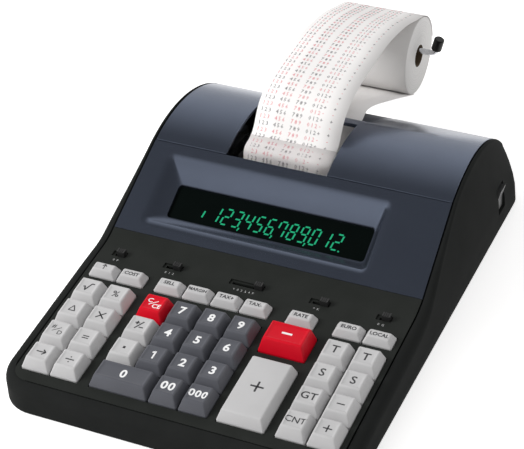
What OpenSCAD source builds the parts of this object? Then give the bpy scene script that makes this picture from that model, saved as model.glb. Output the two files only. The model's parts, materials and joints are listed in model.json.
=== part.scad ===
// Desktop printing calculator. Millimetres, Z up, the front of the machine faces -Y.

/* [Keys] */
// pitch between key columns
key_pitch_x = 18.5; // [17.5:0.1:19.5]
// pitch between key rows
key_pitch_y = 19; // [18:0.1:20]
// gap between the skirts of neighbouring keys
key_gap = 1; // [0.6:0.1:1.6]
// height of a key top above the panel
key_h = 7; // [5:0.5:9]
// inward slope of a key side, skirt to top
key_taper = 2.4; // [1.5:0.1:3]
// inward slope of a key front, skirt to top
key_front_taper = 3.4; // [2:0.1:4.5]
// depth of the hollow in a key top
key_dish = 0.6; // [0.3:0.1:1]
// key travel
key_travel = 2.8; // [2:0.1:3.4]
// depth of a low function key, front to back
small_key_d = 10; // [8:0.5:11]
// height of a low function key above the panel
small_key_h = 5; // [4:0.5:6]
// width of the minus and plus keys
wide_key_w = 28.5; // [26:0.5:30]
// length of the plus key
plus_key_d = 48.5; // [46:0.5:52]
// height of the minus key above the panel
minus_key_h = 9; // [7:0.5:11]
// diameter of a key stem
stem_d = 5; // [4:0.1:6]
// room between the keys and the edge of the panel
key_margin = 3.4; // [3:0.1:6]

/* [Case] */
// depth of the case, front to back
case_d = 306; // [296:1:316]
// height of the printer cover above the table
case_h = 70; // [66:0.5:74]
// width of the rim beside the panels
rim_w = 8; // [7:0.5:10]
// width of the rim in front of the panel
front_rim = 7.5; // [7:0.5:10]
// rounding of the rim edge
rim_r = 6.5; // [4:0.5:7]
// wall thickness of the lower case
wall = 2.8; // [2.2:0.1:3.4]
// floor thickness of the lower case
floor_t = 2.5; // [2:0.1:3.5]
// thickness of the top panels
plate_t = 2.5; // [2:0.1:3]
// width of the ledge that carries the panels
ledge_w = 1.8; // [1.2:0.1:2.4]
// slope of the keyboard
key_tilt = 5; // [4:0.25:6]
// slope of the display bezel
bezel_tilt = 27; // [25.5:0.1:28.5]
// radius of the curved cover
crown_r = 90; // [86:1:94]
// plan radius of the front corners
front_corner_r = 22; // [16:1:28]
// plan radius of the front corners of the keyboard panel
panel_corner_r = 10; // [8:0.5:12]
// plan radius of the rear corners
rear_corner_r = 14; // [9:1:20]
// height of the feet
foot_h = 2.5; // [2:0.1:4]
// diameter of the feet
foot_d = 14; // [10:0.5:18]

/* [Display] */
// width of the display window
disp_w = 132; // [120:1:136]
// height of the display window
disp_h = 25; // [22:0.5:27]
// depth of the window below the bezel
disp_depth = 7; // [5:0.5:8]
// sideways place of the window centre
disp_x = -8.6; // [-12:0.1:0]
// thickness of the window
window_t = 1.5; // [1:0.1:2]
// thickness of the display tube
tube_t = 6; // [5:0.5:7]

/* [Paper] */
// width of the paper
paper_w = 57.5; // [54:0.5:60]
// sideways place of the paper centre
paper_x = -12.5; // [-16:0.5:-8]
// outside diameter of the paper roll
roll_d = 53; // [46:1:58]
// bore of the roll core
core_d = 12.5; // [10:0.5:16]
// height of the roll centre above the table
roll_z = 52.5; // [48:0.1:58]
// distance of the roll centre behind the case
roll_back = 57; // [52:0.5:66]
// diameter of the holder wire
wire_d = 4; // [3:0.1:5]
// thickness given to the paper
paper_t = 0.3; // [0.2:0.05:0.5]

/* [Printer] */
// diameter of the platen roller
platen_d = 16; // [14:0.5:18]
// diameter of the print drum
drum_d = 20; // [18:0.5:22]
// diameter of the ink roller
ink_d = 10; // [8:0.5:12]
// diameter of the roller shafts
shaft_d = 4; // [3:0.1:5]
// diameter of the print motor
motor_d = 24; // [20:0.5:26]
// length of the print motor
motor_l = 30; // [24:1:36]

/* [Switches] */
// length of a slide switch knob
knob_l = 5; // [4:0.1:6]
// width of a slide switch knob
knob_w = 3.6; // [3:0.1:4]
// step between two slide switch places
knob_step = 3.2; // [2.5:0.1:4]
// width of the power rocker window
rocker_w = 12; // [10:0.5:14]
// half length of the power rocker
rocker_half = 8.2; // [7:0.1:9]

/* [Hidden] */
$fn = 48;

// small clearances
fit = 0.2;
stem_fit = 0.05;
run_fit = 0.05;
slack = 0.4;
overlap = 0.5;

// key grid, in columns of the pitch
col_a = -4.74 * key_pitch_x;
col_b = -3.74 * key_pitch_x;
col_c = -2.39 * key_pitch_x;
col_d = -1.39 * key_pitch_x;
col_e = -0.39 * key_pitch_x;
col_f = 0.61 * key_pitch_x;
col_g = 2.16 * key_pitch_x;
col_h = 3.75 * key_pitch_x;
col_i = 4.75 * key_pitch_x;
key_w = key_pitch_x - key_gap;
key_d = key_pitch_y - key_gap;

// stack below the panel
skirt = 2.2;
pocket_d = skirt + key_travel + 0.5;
tray_t = 2.5;
tray_d = pocket_d + tray_t;
flange_t = 0.65;
board_d = tray_d + run_fit + flange_t + key_travel + 0.7;
board_t = 1.6;
board_v0 = 8;
board_gap = 1.1;
floor_z = foot_h + floor_t;
front_h = floor_z + board_gap + (board_d + board_t) * cos(key_tilt) - board_v0 * sin(key_tilt);

// rows along the panel
row_v0 = 8.2 + key_d / 2;
row_1 = row_v0 + key_pitch_y;
row_2 = row_v0 + 2 * key_pitch_y;
row_3 = row_v0 + 3 * key_pitch_y;
small_v = row_3 + key_d / 2 + 6.8 + small_key_d / 2;
plus_v = row_v0 - key_d / 2 + plus_key_d / 2;
minus_d = key_d + 2;
minus_v = row_3 + 0.5;

// widths
panel_hw = col_i + key_w / 2 + key_margin;
tray_hw = panel_hw - ledge_w - 0.3;
case_hw = panel_hw + rim_w;
roof_d = plate_t + 2;
tray_corner_r = panel_corner_r - 4;
rim_least = 3;

// side profile: curved cover, bezel line, panel line and the bend between them
crease = 4;
switch_gap = 13.1;
sw_v = small_v + small_key_d / 2 + switch_gap;
panel_v = sw_v + 3.2;
bend_run = 8;
bend_r = bend_run / tan((bezel_tilt - key_tilt) / 2);
bend_y = front_rim + (panel_v + bend_run) * cos(key_tilt);
bend_z = front_h + (panel_v + bend_run) * sin(key_tilt);
bend_cy = front_rim + panel_v * cos(key_tilt) - bend_r * sin(key_tilt);
bend_cz = front_h + panel_v * sin(key_tilt) + bend_r * cos(key_tilt);
bz_y = bend_y + bend_run * cos(bezel_tilt);
bz_z = bend_z + bend_run * sin(bezel_tilt);
bez_top_z = case_h - crown_r * (1 - cos(bezel_tilt - crease));
bezel_l = (bez_top_z - bz_z) / sin(bezel_tilt);
bez_top_y = bz_y + bezel_l * cos(bezel_tilt);
crown_y = bez_top_y + crown_r * sin(bezel_tilt - crease);
crown_z = case_h - crown_r;
bend_step = (bezel_tilt - key_tilt) / 3;
bend_n = 8;
deep = 0.85 * case_d;
long = 1.3 * case_d;
front_phi = 90 + bezel_tilt - crease;

// display recess
rec_left = 9.3;
rec_right = 4.4;
rec_low = 0.2 * (bezel_l - disp_h);
rec_high = 0.356 * (bezel_l - disp_h);
win_u0 = (bezel_l - disp_h - rec_low - rec_high) / 2 + rec_low;
win_u1 = win_u0 + disp_h;
win_x0 = disp_x - disp_w / 2;
win_x1 = disp_x + disp_w / 2;
bucket_t = 1.8;

// paper path
outlet_phi = 80;
inlet_phi0 = 66.5;
inlet_phi1 = 75;
cover_y = (crown_y + crown_r * cos(inlet_phi0) + case_d) / 2;
cover_phi = acos((cover_y - crown_y) / crown_r);
bar_phi = 100.5;
slot_x0 = paper_x - paper_w / 2 - 8;
slot_x1 = paper_x + paper_w / 2 + 1.5;
roll_y = case_d + roll_back;
web_gap = 0.35;
feed_r = roll_d / 2 + web_gap + paper_t / 2;
drape_r = roll_d / 2 + 1.2;
total_d = roll_y + drape_r + paper_t / 2;
nose_y = front_rim * (1 - cos(key_tilt)) + rim_r * sin(key_tilt);

// printer
pl_y = crown_y - 19;
pl_z = case_h - 24;
wrap_r = platen_d / 2 + web_gap + paper_t / 2;
drum_gap = platen_d / 2 + drum_d / 2 + 2 * web_gap + paper_t + 0.2;
dr_y = pl_y + drum_gap * cos(240);
dr_z = pl_z + drum_gap * sin(240);
ink_gap = drum_d / 2 + ink_d / 2 + 0.3;
in_y = dr_y + ink_gap * cos(200);
in_z = dr_z + ink_gap * sin(200);
side_t = 2;
side_x = paper_w / 2 + 9.5;
frame_top = pl_z + platen_d / 2;

// holder
wire_z = roll_z + core_d / 2 - wire_d / 2 - 0.1;
arm_x = paper_x - paper_w / 2 - 12;
socket_z = 20;
tip_x = paper_x + paper_w / 2 + 9;

// power rocker
rk_y = case_d - 40;
rk_z = 22;
rk_x = case_hw - 5.4;
rk_lean = 7;
rk_face = 3.2;
rk_tip = rk_face + rocker_half * tan(rk_lean);
rk_room = sqrt(rk_tip * rk_tip + rocker_half * rocker_half) + 0.4;
rk_pin = 3;

// mains inlet
inlet_x = 56;
inlet_z = 17;
inlet_deep = 13;

// slide switches
slot_depth = 1;
sw_x = [-4.62 * key_pitch_x, -2.58 * key_pitch_x, 0.3 * key_pitch_x, 2.55 * key_pitch_x,
  4.62 * key_pitch_x];
sw_n = [1, 2, 5, 2, 1];

// screws
post_v = sw_v - 8;
post_x = 3.46 * key_pitch_x;
post_u = 25;
bez_post_x = panel_hw - ledge_w - 6;
screw_top = floor_z + 3;
screws = [[-post_x, front_rim + post_v * cos(key_tilt)], [post_x, front_rim + post_v * cos(key_tilt)],
  [-bez_post_x, bz_y + post_u * cos(bezel_tilt)], [bez_post_x, bz_y + post_u * cos(bezel_tilt)]];

black = "#1b1d1c";
charcoal = "#2f302f";
slate = "#3f465a";
light = "#c8c6c4";
dark = "#5d5f64";
red = "#d5101c";
steel = "#b9bcc0";

main_keys = [[col_a, row_3], [col_a, row_2], [col_a, row_1], [col_a, row_v0],
  [col_b, row_3], [col_b, row_2], [col_b, row_1], [col_b, row_v0],
  [col_c, row_3], [col_c, row_2], [col_c, row_1], [(col_c + col_d) / 2, row_v0],
  [col_d, row_3], [col_d, row_2], [col_d, row_1],
  [col_e, row_3], [col_e, row_2], [col_e, row_1], [col_e, row_v0],
  [col_f, row_3], [col_f, row_2], [col_f, row_1], [col_f, row_v0],
  [col_g, minus_v], [col_g, plus_v],
  [col_h, row_3], [col_h, row_2], [col_h, row_1], [col_h, row_v0],
  [col_i, row_3], [col_i, row_2], [col_i, row_1], [col_i, row_v0]];
small_left = [col_a, col_b, col_c, col_d, col_e, col_f];
small_right = [col_g, col_h, col_i];

// frames: keyboard panel, bezel, and a turn about an axis along X
module kb() translate([0, front_rim, front_h]) rotate([key_tilt, 0, 0]) children();
module bz() translate([0, bz_y, bz_z]) rotate([bezel_tilt, 0, 0]) children();
module swing(y, z, a0, a) {
  translate([0, y, z]) rotate([90, 0, 90]) rotate([0, 0, a0]) rotate_extrude(angle = a, $fn = 96)
    children();
}

// what lies outside a quarter circle at a corner
module nook(r) {
  difference() {
    translate([-r, -1]) square([r + 1, r + 1]);
    translate([-r, r]) circle(r = r, $fn = 96);
  }
}

// cross section: width across, depth downwards, the two upper edges rounded
module edge_section(hw, r, h) {
  difference() {
    translate([-hw, 0]) square([2 * hw, h]);
    if (r > 0) translate([hw, 0]) nook(r);
    if (r > 0) mirror([1, 0]) translate([hw, 0]) nook(r);
  }
}

// solid below one line of the side profile, a line that touches the bend at angle a
module slab(a, d, hw, r, s0, s1) {
  translate([0, bend_cy + (bend_r + d) * sin(a), bend_cz - (bend_r + d) * cos(a)]) rotate([a, 0, 0]) {
    translate([0, s0, 0]) rotate([-90, 0, 0]) linear_extrude(s1 - s0) edge_section(hw, r, deep);
  }
}

// solid below the keyboard part of the top surface, from a front place back
module under_keys(d, hw, r, v0) {
  slab(key_tilt, d, hw, r, v0 - panel_v, bend_run + 40);
  slab(key_tilt + bend_step, d, hw, r, -60, bend_run + 40);
  slab(key_tilt + 2 * bend_step, d, hw, r, -60, bend_run + 40);
}

// solid below the bezel and the curved cover
module under_top(d, hw, r) {
  intersection() {
    slab(bezel_tilt, d, hw, r, -60, long);
    translate([0, crown_y, crown_z]) rotate([90, 0, 90]) rotate_extrude($fn = 120) {
      translate([crown_r - d, 0]) rotate(90) edge_section(hw, r, crown_r - d - 5);
    }
  }
}

module under(d, hw, r, v0) {
  under_keys(d, hw, r, v0);
  under_top(d, hw, r);
}

module plan_corners(i, fi) {
  translate([case_hw - i, fi]) nook(front_corner_r - i);
  translate([case_hw - i, case_d - i]) mirror([0, 1]) nook(rear_corner_r - i);
}

// plan of the case, drawn in by an amount
module plan(i, fi) {
  difference() {
    translate([i - case_hw, fi]) square([2 * (case_hw - i), case_d - i - fi]);
    plan_corners(i, fi);
    mirror([1, 0]) plan_corners(i, fi);
  }
}

module outer_form() {
  difference() {
    intersection() {
      under(0, case_hw, rim_r, -front_rim);
      translate([0, 0, foot_h]) linear_extrude(case_h) plan(0, 0);
    }
    kb() translate([-case_hw - 1, -front_rim, 0]) rotate([90, 0, 90]) linear_extrude(2 * case_hw + 2) {
      mirror([1, 0]) mirror([0, 1]) nook(rim_r);
    }
  }
}

// all that lies in front of an oblong with two round corners, in the plane of the keyboard
module in_front(hw, v0, r) {
  translate([0, 0, -deep]) linear_extrude(2 * deep) {
    translate([-hw - 2, v0 - long]) square([2 * hw + 4, long]);
    translate([hw, v0]) nook(r);
    mirror([1, 0]) translate([hw, v0]) nook(r);
  }
}

// well in the top of the case, down to a depth, out to a half width
module well(d, hw, v0, r, phi) {
  difference() {
    translate([0, 0, foot_h + 1]) linear_extrude(case_h) intersection() {
      translate([-hw, 0]) square([2 * hw, case_d]);
      plan(rim_least, 0);
    }
    under(d, hw + 1, 0, -long / 4);
    kb() in_front(hw, v0, r);
    translate([0, crown_y, crown_z]) rotate([phi, 0, 0]) translate([-hw - 2, 0, -long])
      cube([2 * hw + 4, long, long]);
  }
}

module base_case() color(black) {
  difference() {
    union() {
      difference() {
        outer_form();
        intersection() {
          under(roof_d, case_hw - wall, 0, -front_rim);
          translate([0, 0, floor_z]) linear_extrude(case_h) plan(wall, wall + 1.6);
        }
        well(plate_t, panel_hw + fit, 0, panel_corner_r + fit, cover_phi);
        well(roof_d + overlap, panel_hw - ledge_w, ledge_w + 1.5, tray_corner_r, cover_phi + 2);
      }
      for (s = screws) translate([s[0], s[1], foot_h]) cylinder(d = 10, h = screw_top - foot_h);
      translate([arm_x, case_d - wall - 10, socket_z]) rotate([-90, 0, 0])
        cylinder(d = wire_d + 6, h = 10 + overlap);
      translate([inlet_x - 12, case_d - wall - inlet_deep - 2, inlet_z - 8])
        cube([24, inlet_deep + 2 + overlap, 16]);
      translate([case_hw - wall - 8, rk_y - rocker_w / 2 - 1.5, rk_z - rk_room - 1.5]) {
        cube([8 + overlap, rocker_w + 3, 2 * rk_room + 3]);
      }
    }
    for (s = screws) translate([s[0], s[1], foot_h]) {
      translate([0, 0, -1]) cylinder(d = 6.4, h = 4);
      translate([0, 0, -1]) cylinder(d = 3.2, h = 20);
    }
    translate([arm_x, case_d - wall - 8, socket_z]) rotate([-90, 0, 0])
      cylinder(d = wire_d + 2 * run_fit, h = 20);
    difference() {
      translate([inlet_x - 10, case_d - wall - inlet_deep, inlet_z - 6])
        cube([20, inlet_deep + wall + 1, 12]);
      for (s = [-4, 4]) translate([inlet_x + s, case_d - wall - inlet_deep - 1, inlet_z]) {
        rotate([-90, 0, 0]) cylinder(d = 2.4, h = inlet_deep - 4);
      }
    }
    translate([case_hw - wall - 6.5, rk_y - rocker_w / 2, rk_z - rk_room])
      cube([20, rocker_w, 2 * rk_room]);
    translate([rk_x, rk_y - rocker_w / 2 - 1.2, rk_z]) rotate([-90, 0, 0]) {
      cylinder(d = rk_pin + 2 * run_fit, h = rocker_w + 2.4);
    }
  }
}

module pocket(x0, x1, v0, v1) {
  translate([x0 - slack, v0 - slack, -pocket_d])
    cube([x1 - x0 + 2 * slack, v1 - v0 + 2 * slack, pocket_d + 1]);
}

module key_wells() {
  hx = key_w / 2;
  lo = row_v0 - key_d / 2;
  hi = row_3 + key_d / 2;
  s0 = small_v - small_key_d / 2;
  s1 = small_v + small_key_d / 2;
  pocket(col_a - hx, col_b + hx, lo, hi);
  pocket(col_c - hx, col_f + hx, lo, hi);
  pocket(col_h - hx, col_i + hx, lo, hi);
  pocket(col_g - wide_key_w / 2, col_g + wide_key_w / 2, minus_v - minus_d / 2, minus_v + minus_d / 2);
  pocket(col_g - wide_key_w / 2, col_g + wide_key_w / 2, lo, lo + plus_key_d);
  pocket(col_a - hx, col_b + hx, s0, s1);
  pocket(col_c - hx, col_f + hx, s0, s1);
  pocket(col_g - hx, col_g + hx, s0, s1);
  pocket(col_h - hx, col_i + hx, s0, s1);
}

module stem_holes() {
  for (k = main_keys) translate([k[0], k[1], -tray_d - 1])
    cylinder(d = stem_d + 2 * stem_fit, h = tray_t + 2);
  for (x = concat(small_left, small_right)) translate([x, small_v, -tray_d - 1]) {
    cylinder(d = stem_d + 2 * stem_fit, h = tray_t + 2);
  }
}

module switch_slot(i) {
  run = sw_n[i] * knob_step;
  translate([sw_x[i] - run - knob_l / 2 - 0.6, sw_v - knob_w / 2 - 0.5, -slot_depth]) {
    cube([run + knob_l + 1.2, knob_w + 1, slot_depth + 1]);
  }
  translate([sw_x[i] - run - 1.4, sw_v - 1, -plate_t - 1]) cube([run + 2.8, 2, plate_t + 2]);
}

module screw_post(x, y) {
  difference() {
    translate([x, y, screw_top]) cylinder(d = 8, h = case_h - screw_top);
    translate([x, y, screw_top - 1]) cylinder(d = 3, h = 13);
  }
}

// a point below the panel's flat part, one on a kink of the bend, and the line from front to back
function flat_at(v, d) = [front_rim + v * cos(key_tilt) + d * sin(key_tilt),
  front_h + v * sin(key_tilt) - d * cos(key_tilt)];
function round_at(a, r) = [bend_cy + r * sin(a), bend_cz - r * cos(a)];
function kink_at(i, d) = let (a = (bezel_tilt - key_tilt) / bend_n)
  round_at(key_tilt + (i - 0.5) * a, (bend_r + d) / cos(a / 2));
function panel_at(i, d) = i == 0 ? flat_at(-2, d) : i <= bend_n ? kink_at(i, d)
  : round_at(bezel_tilt, bend_r + d);
function panel_line(d, first) = [for (i = [0:bend_n + 1]) panel_at(abs(first - i), d)];

module keyboard_panel() color(charcoal) {
  difference() {
    union() {
      difference() {
        translate([-panel_hw, 0, 0]) rotate([90, 0, 90]) linear_extrude(2 * panel_hw) {
          polygon(concat(panel_line(0, 0), panel_line(plate_t, bend_n + 1)));
        }
        kb() in_front(panel_hw, fit, panel_corner_r);
      }
      kb() difference() {
        translate([-tray_hw, 0, -tray_d])
          cube([2 * tray_hw, small_v + small_key_d / 2 + 1.6, tray_d - plate_t + overlap]);
        in_front(tray_hw, ledge_w + 2, tray_corner_r);
      }
      for (x = [col_b + key_pitch_x * 0.67, col_g + key_pitch_x * 0.95])
        for (v = [row_1 - key_pitch_y / 2, row_3]) {
        kb() translate([x, v, -board_d]) cylinder(d = 6, h = board_d - tray_d + overlap);
      }
      difference() {
        for (i = [0, 1]) screw_post(screws[i][0], screws[i][1]);
        kb() translate([-case_hw, 0, -1.2]) cube([2 * case_hw, panel_v, case_h]);
      }
    }
    kb() key_wells();
    kb() stem_holes();
    for (i = [0:4]) kb() switch_slot(i);
  }
}

// sloped box below the bezel, from the surface down to the window
module recess(o, z0, z1) {
  intersection() {
    translate([0, bezel_l, 0]) rotate([90, 0, 0]) linear_extrude(bezel_l) {
      polygon([[win_x0 - o, z0], [win_x1 + o, z0], [win_x1 + rec_right + o, z1],
        [win_x1 + rec_right + o, 1],
        [win_x0 - rec_left - o, 1], [win_x0 - rec_left - o, z1]]);
    }
    translate([-case_hw, 0, 0]) rotate([90, 0, 90]) linear_extrude(2 * case_hw) {
      polygon([[win_u0 - o, z0], [win_u1 + o, z0], [win_u1 + rec_high + o, z1],
        [win_u1 + rec_high + o, 1],
        [win_u0 - rec_low - o, 1], [win_u0 - rec_low - o, z1]]);
    }
  }
}

module display_bezel() color(slate) {
  bz() difference() {
    union() {
      translate([-panel_hw, fit, -plate_t]) cube([2 * panel_hw, bezel_l - fit, plate_t]);
      difference() {
        recess(bucket_t, -disp_depth - bucket_t, -plate_t);
        translate([-case_hw, -1, -overlap]) cube([2 * case_hw, bezel_l + 2, 3]);
      }
    }
    recess(0, -disp_depth, 0);
    translate([win_x0 + 1, win_u0 + 1, -disp_depth - bucket_t - 1])
      cube([disp_w - 2, disp_h - 2, bucket_t + 2]);
  }
  difference() {
    for (i = [2, 3]) screw_post(screws[i][0], screws[i][1]);
    bz() translate([-case_hw, 0, -1.2]) cube([2 * case_hw, bezel_l, case_h]);
  }
}

module display_window() color("#0c1412") {
  bz() translate([win_x0 - 1, win_u0 - 1, -disp_depth - bucket_t - window_t])
    cube([disp_w + 2, disp_h + 2, window_t]);
}

module display_tube() color("#22302c") {
  bz() translate([win_x0 + 4, win_u0 + 3, -disp_depth - bucket_t - window_t - tube_t]) {
    cube([disp_w - 8, disp_h - 6, tube_t]);
    translate([-2, -2, -board_t]) cube([disp_w - 4, disp_h - 2, board_t]);
  }
}

module printer_cover() color(slate) {
  difference() {
    intersection() {
      swing(crown_y, crown_z, cover_phi + 0.15, front_phi - cover_phi - 0.3) {
        translate([crown_r - plate_t, -panel_hw]) square([plate_t, 2 * panel_hw]);
      }
      linear_extrude(case_h + 1) plan(rim_least + fit, 0);
    }
    swing(crown_y, crown_z, outlet_phi, front_phi + 5 - outlet_phi) {
      translate([crown_r - plate_t - 2, slot_x0]) square([plate_t + 4, slot_x1 - slot_x0]);
    }
    swing(crown_y, crown_z, inlet_phi0, inlet_phi1 - inlet_phi0) {
      translate([crown_r - plate_t - 2, slot_x0 + 4]) square([plate_t + 4, slot_x1 - slot_x0 - 4]);
    }
  }
}

module tear_bar() color("#9fb0b4", 0.5) {
  swing(crown_y, crown_z, bar_phi, front_phi - bar_phi - 0.5) {
    translate([crown_r - 1.8, slot_x0 + fit]) square([1.6, slot_x1 - slot_x0 - 2 * fit]);
  }
}

module main_board() color("#2c5a3a") kb() {
  translate([-tray_hw + 2, board_v0, -board_d - board_t]) {
    cube([2 * tray_hw - 4, small_v + small_key_d / 2 - 2 - board_v0, board_t]);
  }
  translate([-20, row_3, -board_d - board_t - 3]) cube([26, 14, 3 + overlap]);
  translate([30, row_3, -board_d - board_t - 4]) cube([10, 16, 4 + overlap]);
}

module printer_frame() color(black) {
  difference() {
    union() {
      for (s = [-side_x - side_t, side_x]) translate([paper_x + s, 0, 0]) rotate([90, 0, 90])
        linear_extrude(side_t) {
        polygon([[in_y - 7, floor_z], [pl_y + 20, floor_z], [pl_y + 20, frame_top],
          [pl_y - 11, frame_top],
          [pl_y - 16, frame_top - 7], [pl_y - 16, frame_top - 20], [in_y - 7, in_z + 5]]);
      }
      translate([paper_x - side_x - overlap, in_y - 7, floor_z])
        cube([2 * side_x + 2 * overlap, pl_y - in_y + 27, 2]);
      translate([paper_x - side_x - overlap, pl_y + 12, floor_z + 9]) rotate([0, 90, 0]) {
        cylinder(d = 5, h = 2 * side_x + 2 * overlap);
      }
    }
    for (c = [[pl_y, pl_z], [dr_y, dr_z], [in_y, in_z]])
      translate([paper_x - side_x - side_t - 1, c[0], c[1]]) {
      rotate([0, 90, 0]) cylinder(d = shaft_d + 2 * run_fit, h = 2 * side_x + 2 * side_t + 2);
    }
    translate([paper_x + side_x - 1, motor_y, motor_z]) rotate([0, 90, 0])
      cylinder(d = 8.4, h = side_t + 2);
  }
}
motor_y = pl_y + 6;
motor_z = floor_z + 4 + motor_d / 2;

module print_motor() color("#8d9094") {
  translate([paper_x + side_x + side_t, motor_y, motor_z]) rotate([0, 90, 0]) {
    cylinder(d = motor_d, h = motor_l);
    translate([0, 0, motor_l - overlap]) cylinder(d = 9, h = 2.5);
    translate([0, 0, -side_t]) cylinder(d = 8, h = side_t + overlap);
    translate([0, 0, -side_t - 5]) cylinder(d = 2, h = 6);
  }
}

module roller(y, z, d, half) {
  translate([paper_x, y, z]) rotate([0, 90, 0]) {
    translate([0, 0, -half]) cylinder(d = d, h = 2 * half);
    translate([0, 0, -side_x - side_t - 2]) cylinder(d = shaft_d, h = 2 * (side_x + side_t + 2));
  }
}

module platen_roller() color("#202020") {
  roller(pl_y, pl_z, platen_d, side_x - 3);
  translate([paper_x + side_x + side_t + 1, pl_y, pl_z]) rotate([0, 90, 0])
    cylinder(d = platen_d, h = 3, $fn = 12);
}

module print_drum() color("#7c7f84") {
  difference() {
    roller(dr_y, dr_z, drum_d, side_x - 4);
    for (k = [-5:5]) translate([paper_x + k * 5 - 0.6, dr_y, dr_z]) rotate([0, 90, 0]) difference() {
      cylinder(d = drum_d + 2, h = 1.2);
      translate([0, 0, -1]) cylinder(d = drum_d - 2, h = 3.2);
    }
  }
}

module ink_roller() color("#2a2440") roller(in_y, in_z, ink_d, side_x - 4);

module paper_roll() color("#f2f0ec") {
  translate([paper_x - paper_w / 2, roll_y, roll_z]) rotate([0, 90, 0]) difference() {
    cylinder(d = roll_d, h = paper_w, $fn = 96);
    translate([0, 0, -1]) cylinder(d = core_d, h = paper_w + 2);
  }
}

module wire_run(a, b) {
  d = b - a;
  l = norm(d);
  translate(a) rotate([0, acos(d[2] / l), atan2(d[1], d[0])]) cylinder(d = wire_d, h = l);
}

module roll_holder() color(steel) {
  w = [[arm_x, case_d - wall - 7.5, socket_z], [arm_x, case_d + 16, socket_z], [arm_x, roll_y, wire_z],
    [tip_x, roll_y, wire_z], [tip_x, roll_y, wire_z + 6]];
  for (i = [0:3]) wire_run(w[i], w[i + 1]);
  for (i = [1:3]) translate(w[i]) sphere(d = wire_d + 0.5);
  translate([tip_x, roll_y, wire_z + 3]) cylinder(d = wire_d + 3, h = 9);
}

// smooth curve through points, and the points of a turn about a centre
function cr(p, i, t) = 0.5 * ((2 * p[i]) + (p[i + 1] - p[i - 1]) * t
  + (2 * p[i - 1] - 5 * p[i] + 4 * p[i + 1] - p[i + 2]) * t * t
  + (3 * p[i] - p[i - 1] - 3 * p[i + 1] + p[i + 2]) * t * t * t);
function smooth(p, n) = [for (i = [1:len(p) - 3]) for (k = [0:n - 1]) cr(p, i, k / n)];
function turn(y, z, r, a0, a1, n) = [for (k = [0:n]) let (a = a0 + (a1 - a0) * k / n)
  [y + r * cos(a), z + r * sin(a)]];
function polar(r, a) = [crown_y + r * cos(a), crown_z + r * sin(a)];
function along(p, i) = p[min(i + 1, len(p) - 1)] - p[max(i - 1, 0)];
function side(p, i, s) = let (d = along(p, i)) p[i] + s * [-d[1], d[0]] / norm(d);

// the path of the paper: off the roll, into the inlet, round the platen, out and over the roll
web_rise = 0.8;
web_in = polar(crown_r + 5, 63.4);
web_run = web_in - [roll_y, roll_z];
leave = atan2(web_run[1], web_run[0]) + acos(feed_r / norm(web_run));
feed_0 = turn(roll_y, roll_z, feed_r, leave + 8, leave, 3);
platen_turn = turn(pl_y, pl_z, wrap_r, -59, -190, 20);
feed_mid = [(feed_0[3] + web_in) / 2 + [0, web_rise], web_in, polar(crown_r - 0.5, 71),
  polar(crown_r - 9.5, 76.5)];
feed = smooth(concat([feed_0[1], feed_0[3]], feed_mid, [platen_turn[0], platen_turn[2]]), 6);
rise = [polar(crown_r - 3.6, 107.5), polar(crown_r - 2.6, 101.2), polar(crown_r + 0.3, 96.9),
  polar(crown_r + 11.8, 90.7), polar(crown_r + 19, 83.8), polar(crown_r + 25.2, 75.6)];
far = turn(roll_y, roll_z, drape_r, 72, 0, 12);
top_y = crown_y + 48;
top_z = case_h + 23;
fall = top_z - far[0][1];
arch = [[top_y, top_z], [top_y * 0.72 + far[0][0] * 0.28, top_z + 0.06 * fall],
  [top_y * 0.4 + far[0][0] * 0.6, top_z - 0.225 * fall],
  [top_y * 0.15 + far[0][0] * 0.85, top_z - 0.697 * fall]];
over = smooth(concat([platen_turn[18], platen_turn[20]], rise, arch, [far[0], far[2]]), 6);
tail = [[roll_y + drape_r, roll_z - 12], [roll_y + drape_r, roll_z - 24]];
path = concat([feed_0[0], feed_0[1], feed_0[2]], feed, [for (i = [0:19]) platen_turn[i]], over, far,
  tail);

module paper_tape() color("#f6f5f2") {
  n = len(path) - 1;
  one = [for (i = [0:n]) side(path, i, paper_t / 2)];
  two = [for (i = [n:-1:0]) side(path, i, -paper_t / 2)];
  translate([paper_x - paper_w / 2, 0, 0]) rotate([90, 0, 90]) linear_extrude(paper_w)
    polygon(concat(one, two));
}

module transformer() color("#4a4d50") {
  x0 = wall - case_hw + 6;
  translate([x0, pl_y, floor_z]) cube([36, 46, 12]);
  translate([x0, pl_y, floor_z]) cube([36, 10, 38]);
  translate([x0, pl_y + 36, floor_z]) cube([36, 10, 38]);
  translate([x0, pl_y, floor_z + 28]) cube([36, 46, 10]);
  translate([x0 - 2, pl_y + 10 - overlap, floor_z + 12 - overlap])
    cube([40, 26 + 2 * overlap, 16 + 2 * overlap]);
}

module feet() color("#141414") {
  for (s = [-1, 1]) for (y = [30, case_d - 34]) translate([s * (case_hw - 22), y, 0])
    cylinder(d = foot_d, h = foot_h);
}

module case_screws() color(steel) {
  for (s = screws) translate([s[0], s[1], foot_h]) {
    translate([0, 0, 0.6]) difference() {
      cylinder(d = 6, h = 2.4);
      translate([-2, -0.5, -1]) cube([4, 1, 1.8]);
      translate([-0.5, -2, -1]) cube([1, 4, 1.8]);
    }
    translate([0, 0, 2.4]) cylinder(d = 2.8, h = 13);
  }
}

module power_rocker() color("#7d8083") {
  translate([rk_x, rk_y, rk_z]) rotate([0, rk_lean, 0]) {
    rotate([90, 0, 0]) linear_extrude(rocker_w - 1, center = true) {
      polygon([[-2, -rocker_half * 0.7], [rk_tip, -rocker_half], [rk_face, 0], [rk_tip, rocker_half],
        [-2, rocker_half * 0.7]]);
    }
    rotate([90, 0, 0]) cylinder(d = rk_pin, h = rocker_w + 2, center = true);
  }
}

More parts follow.
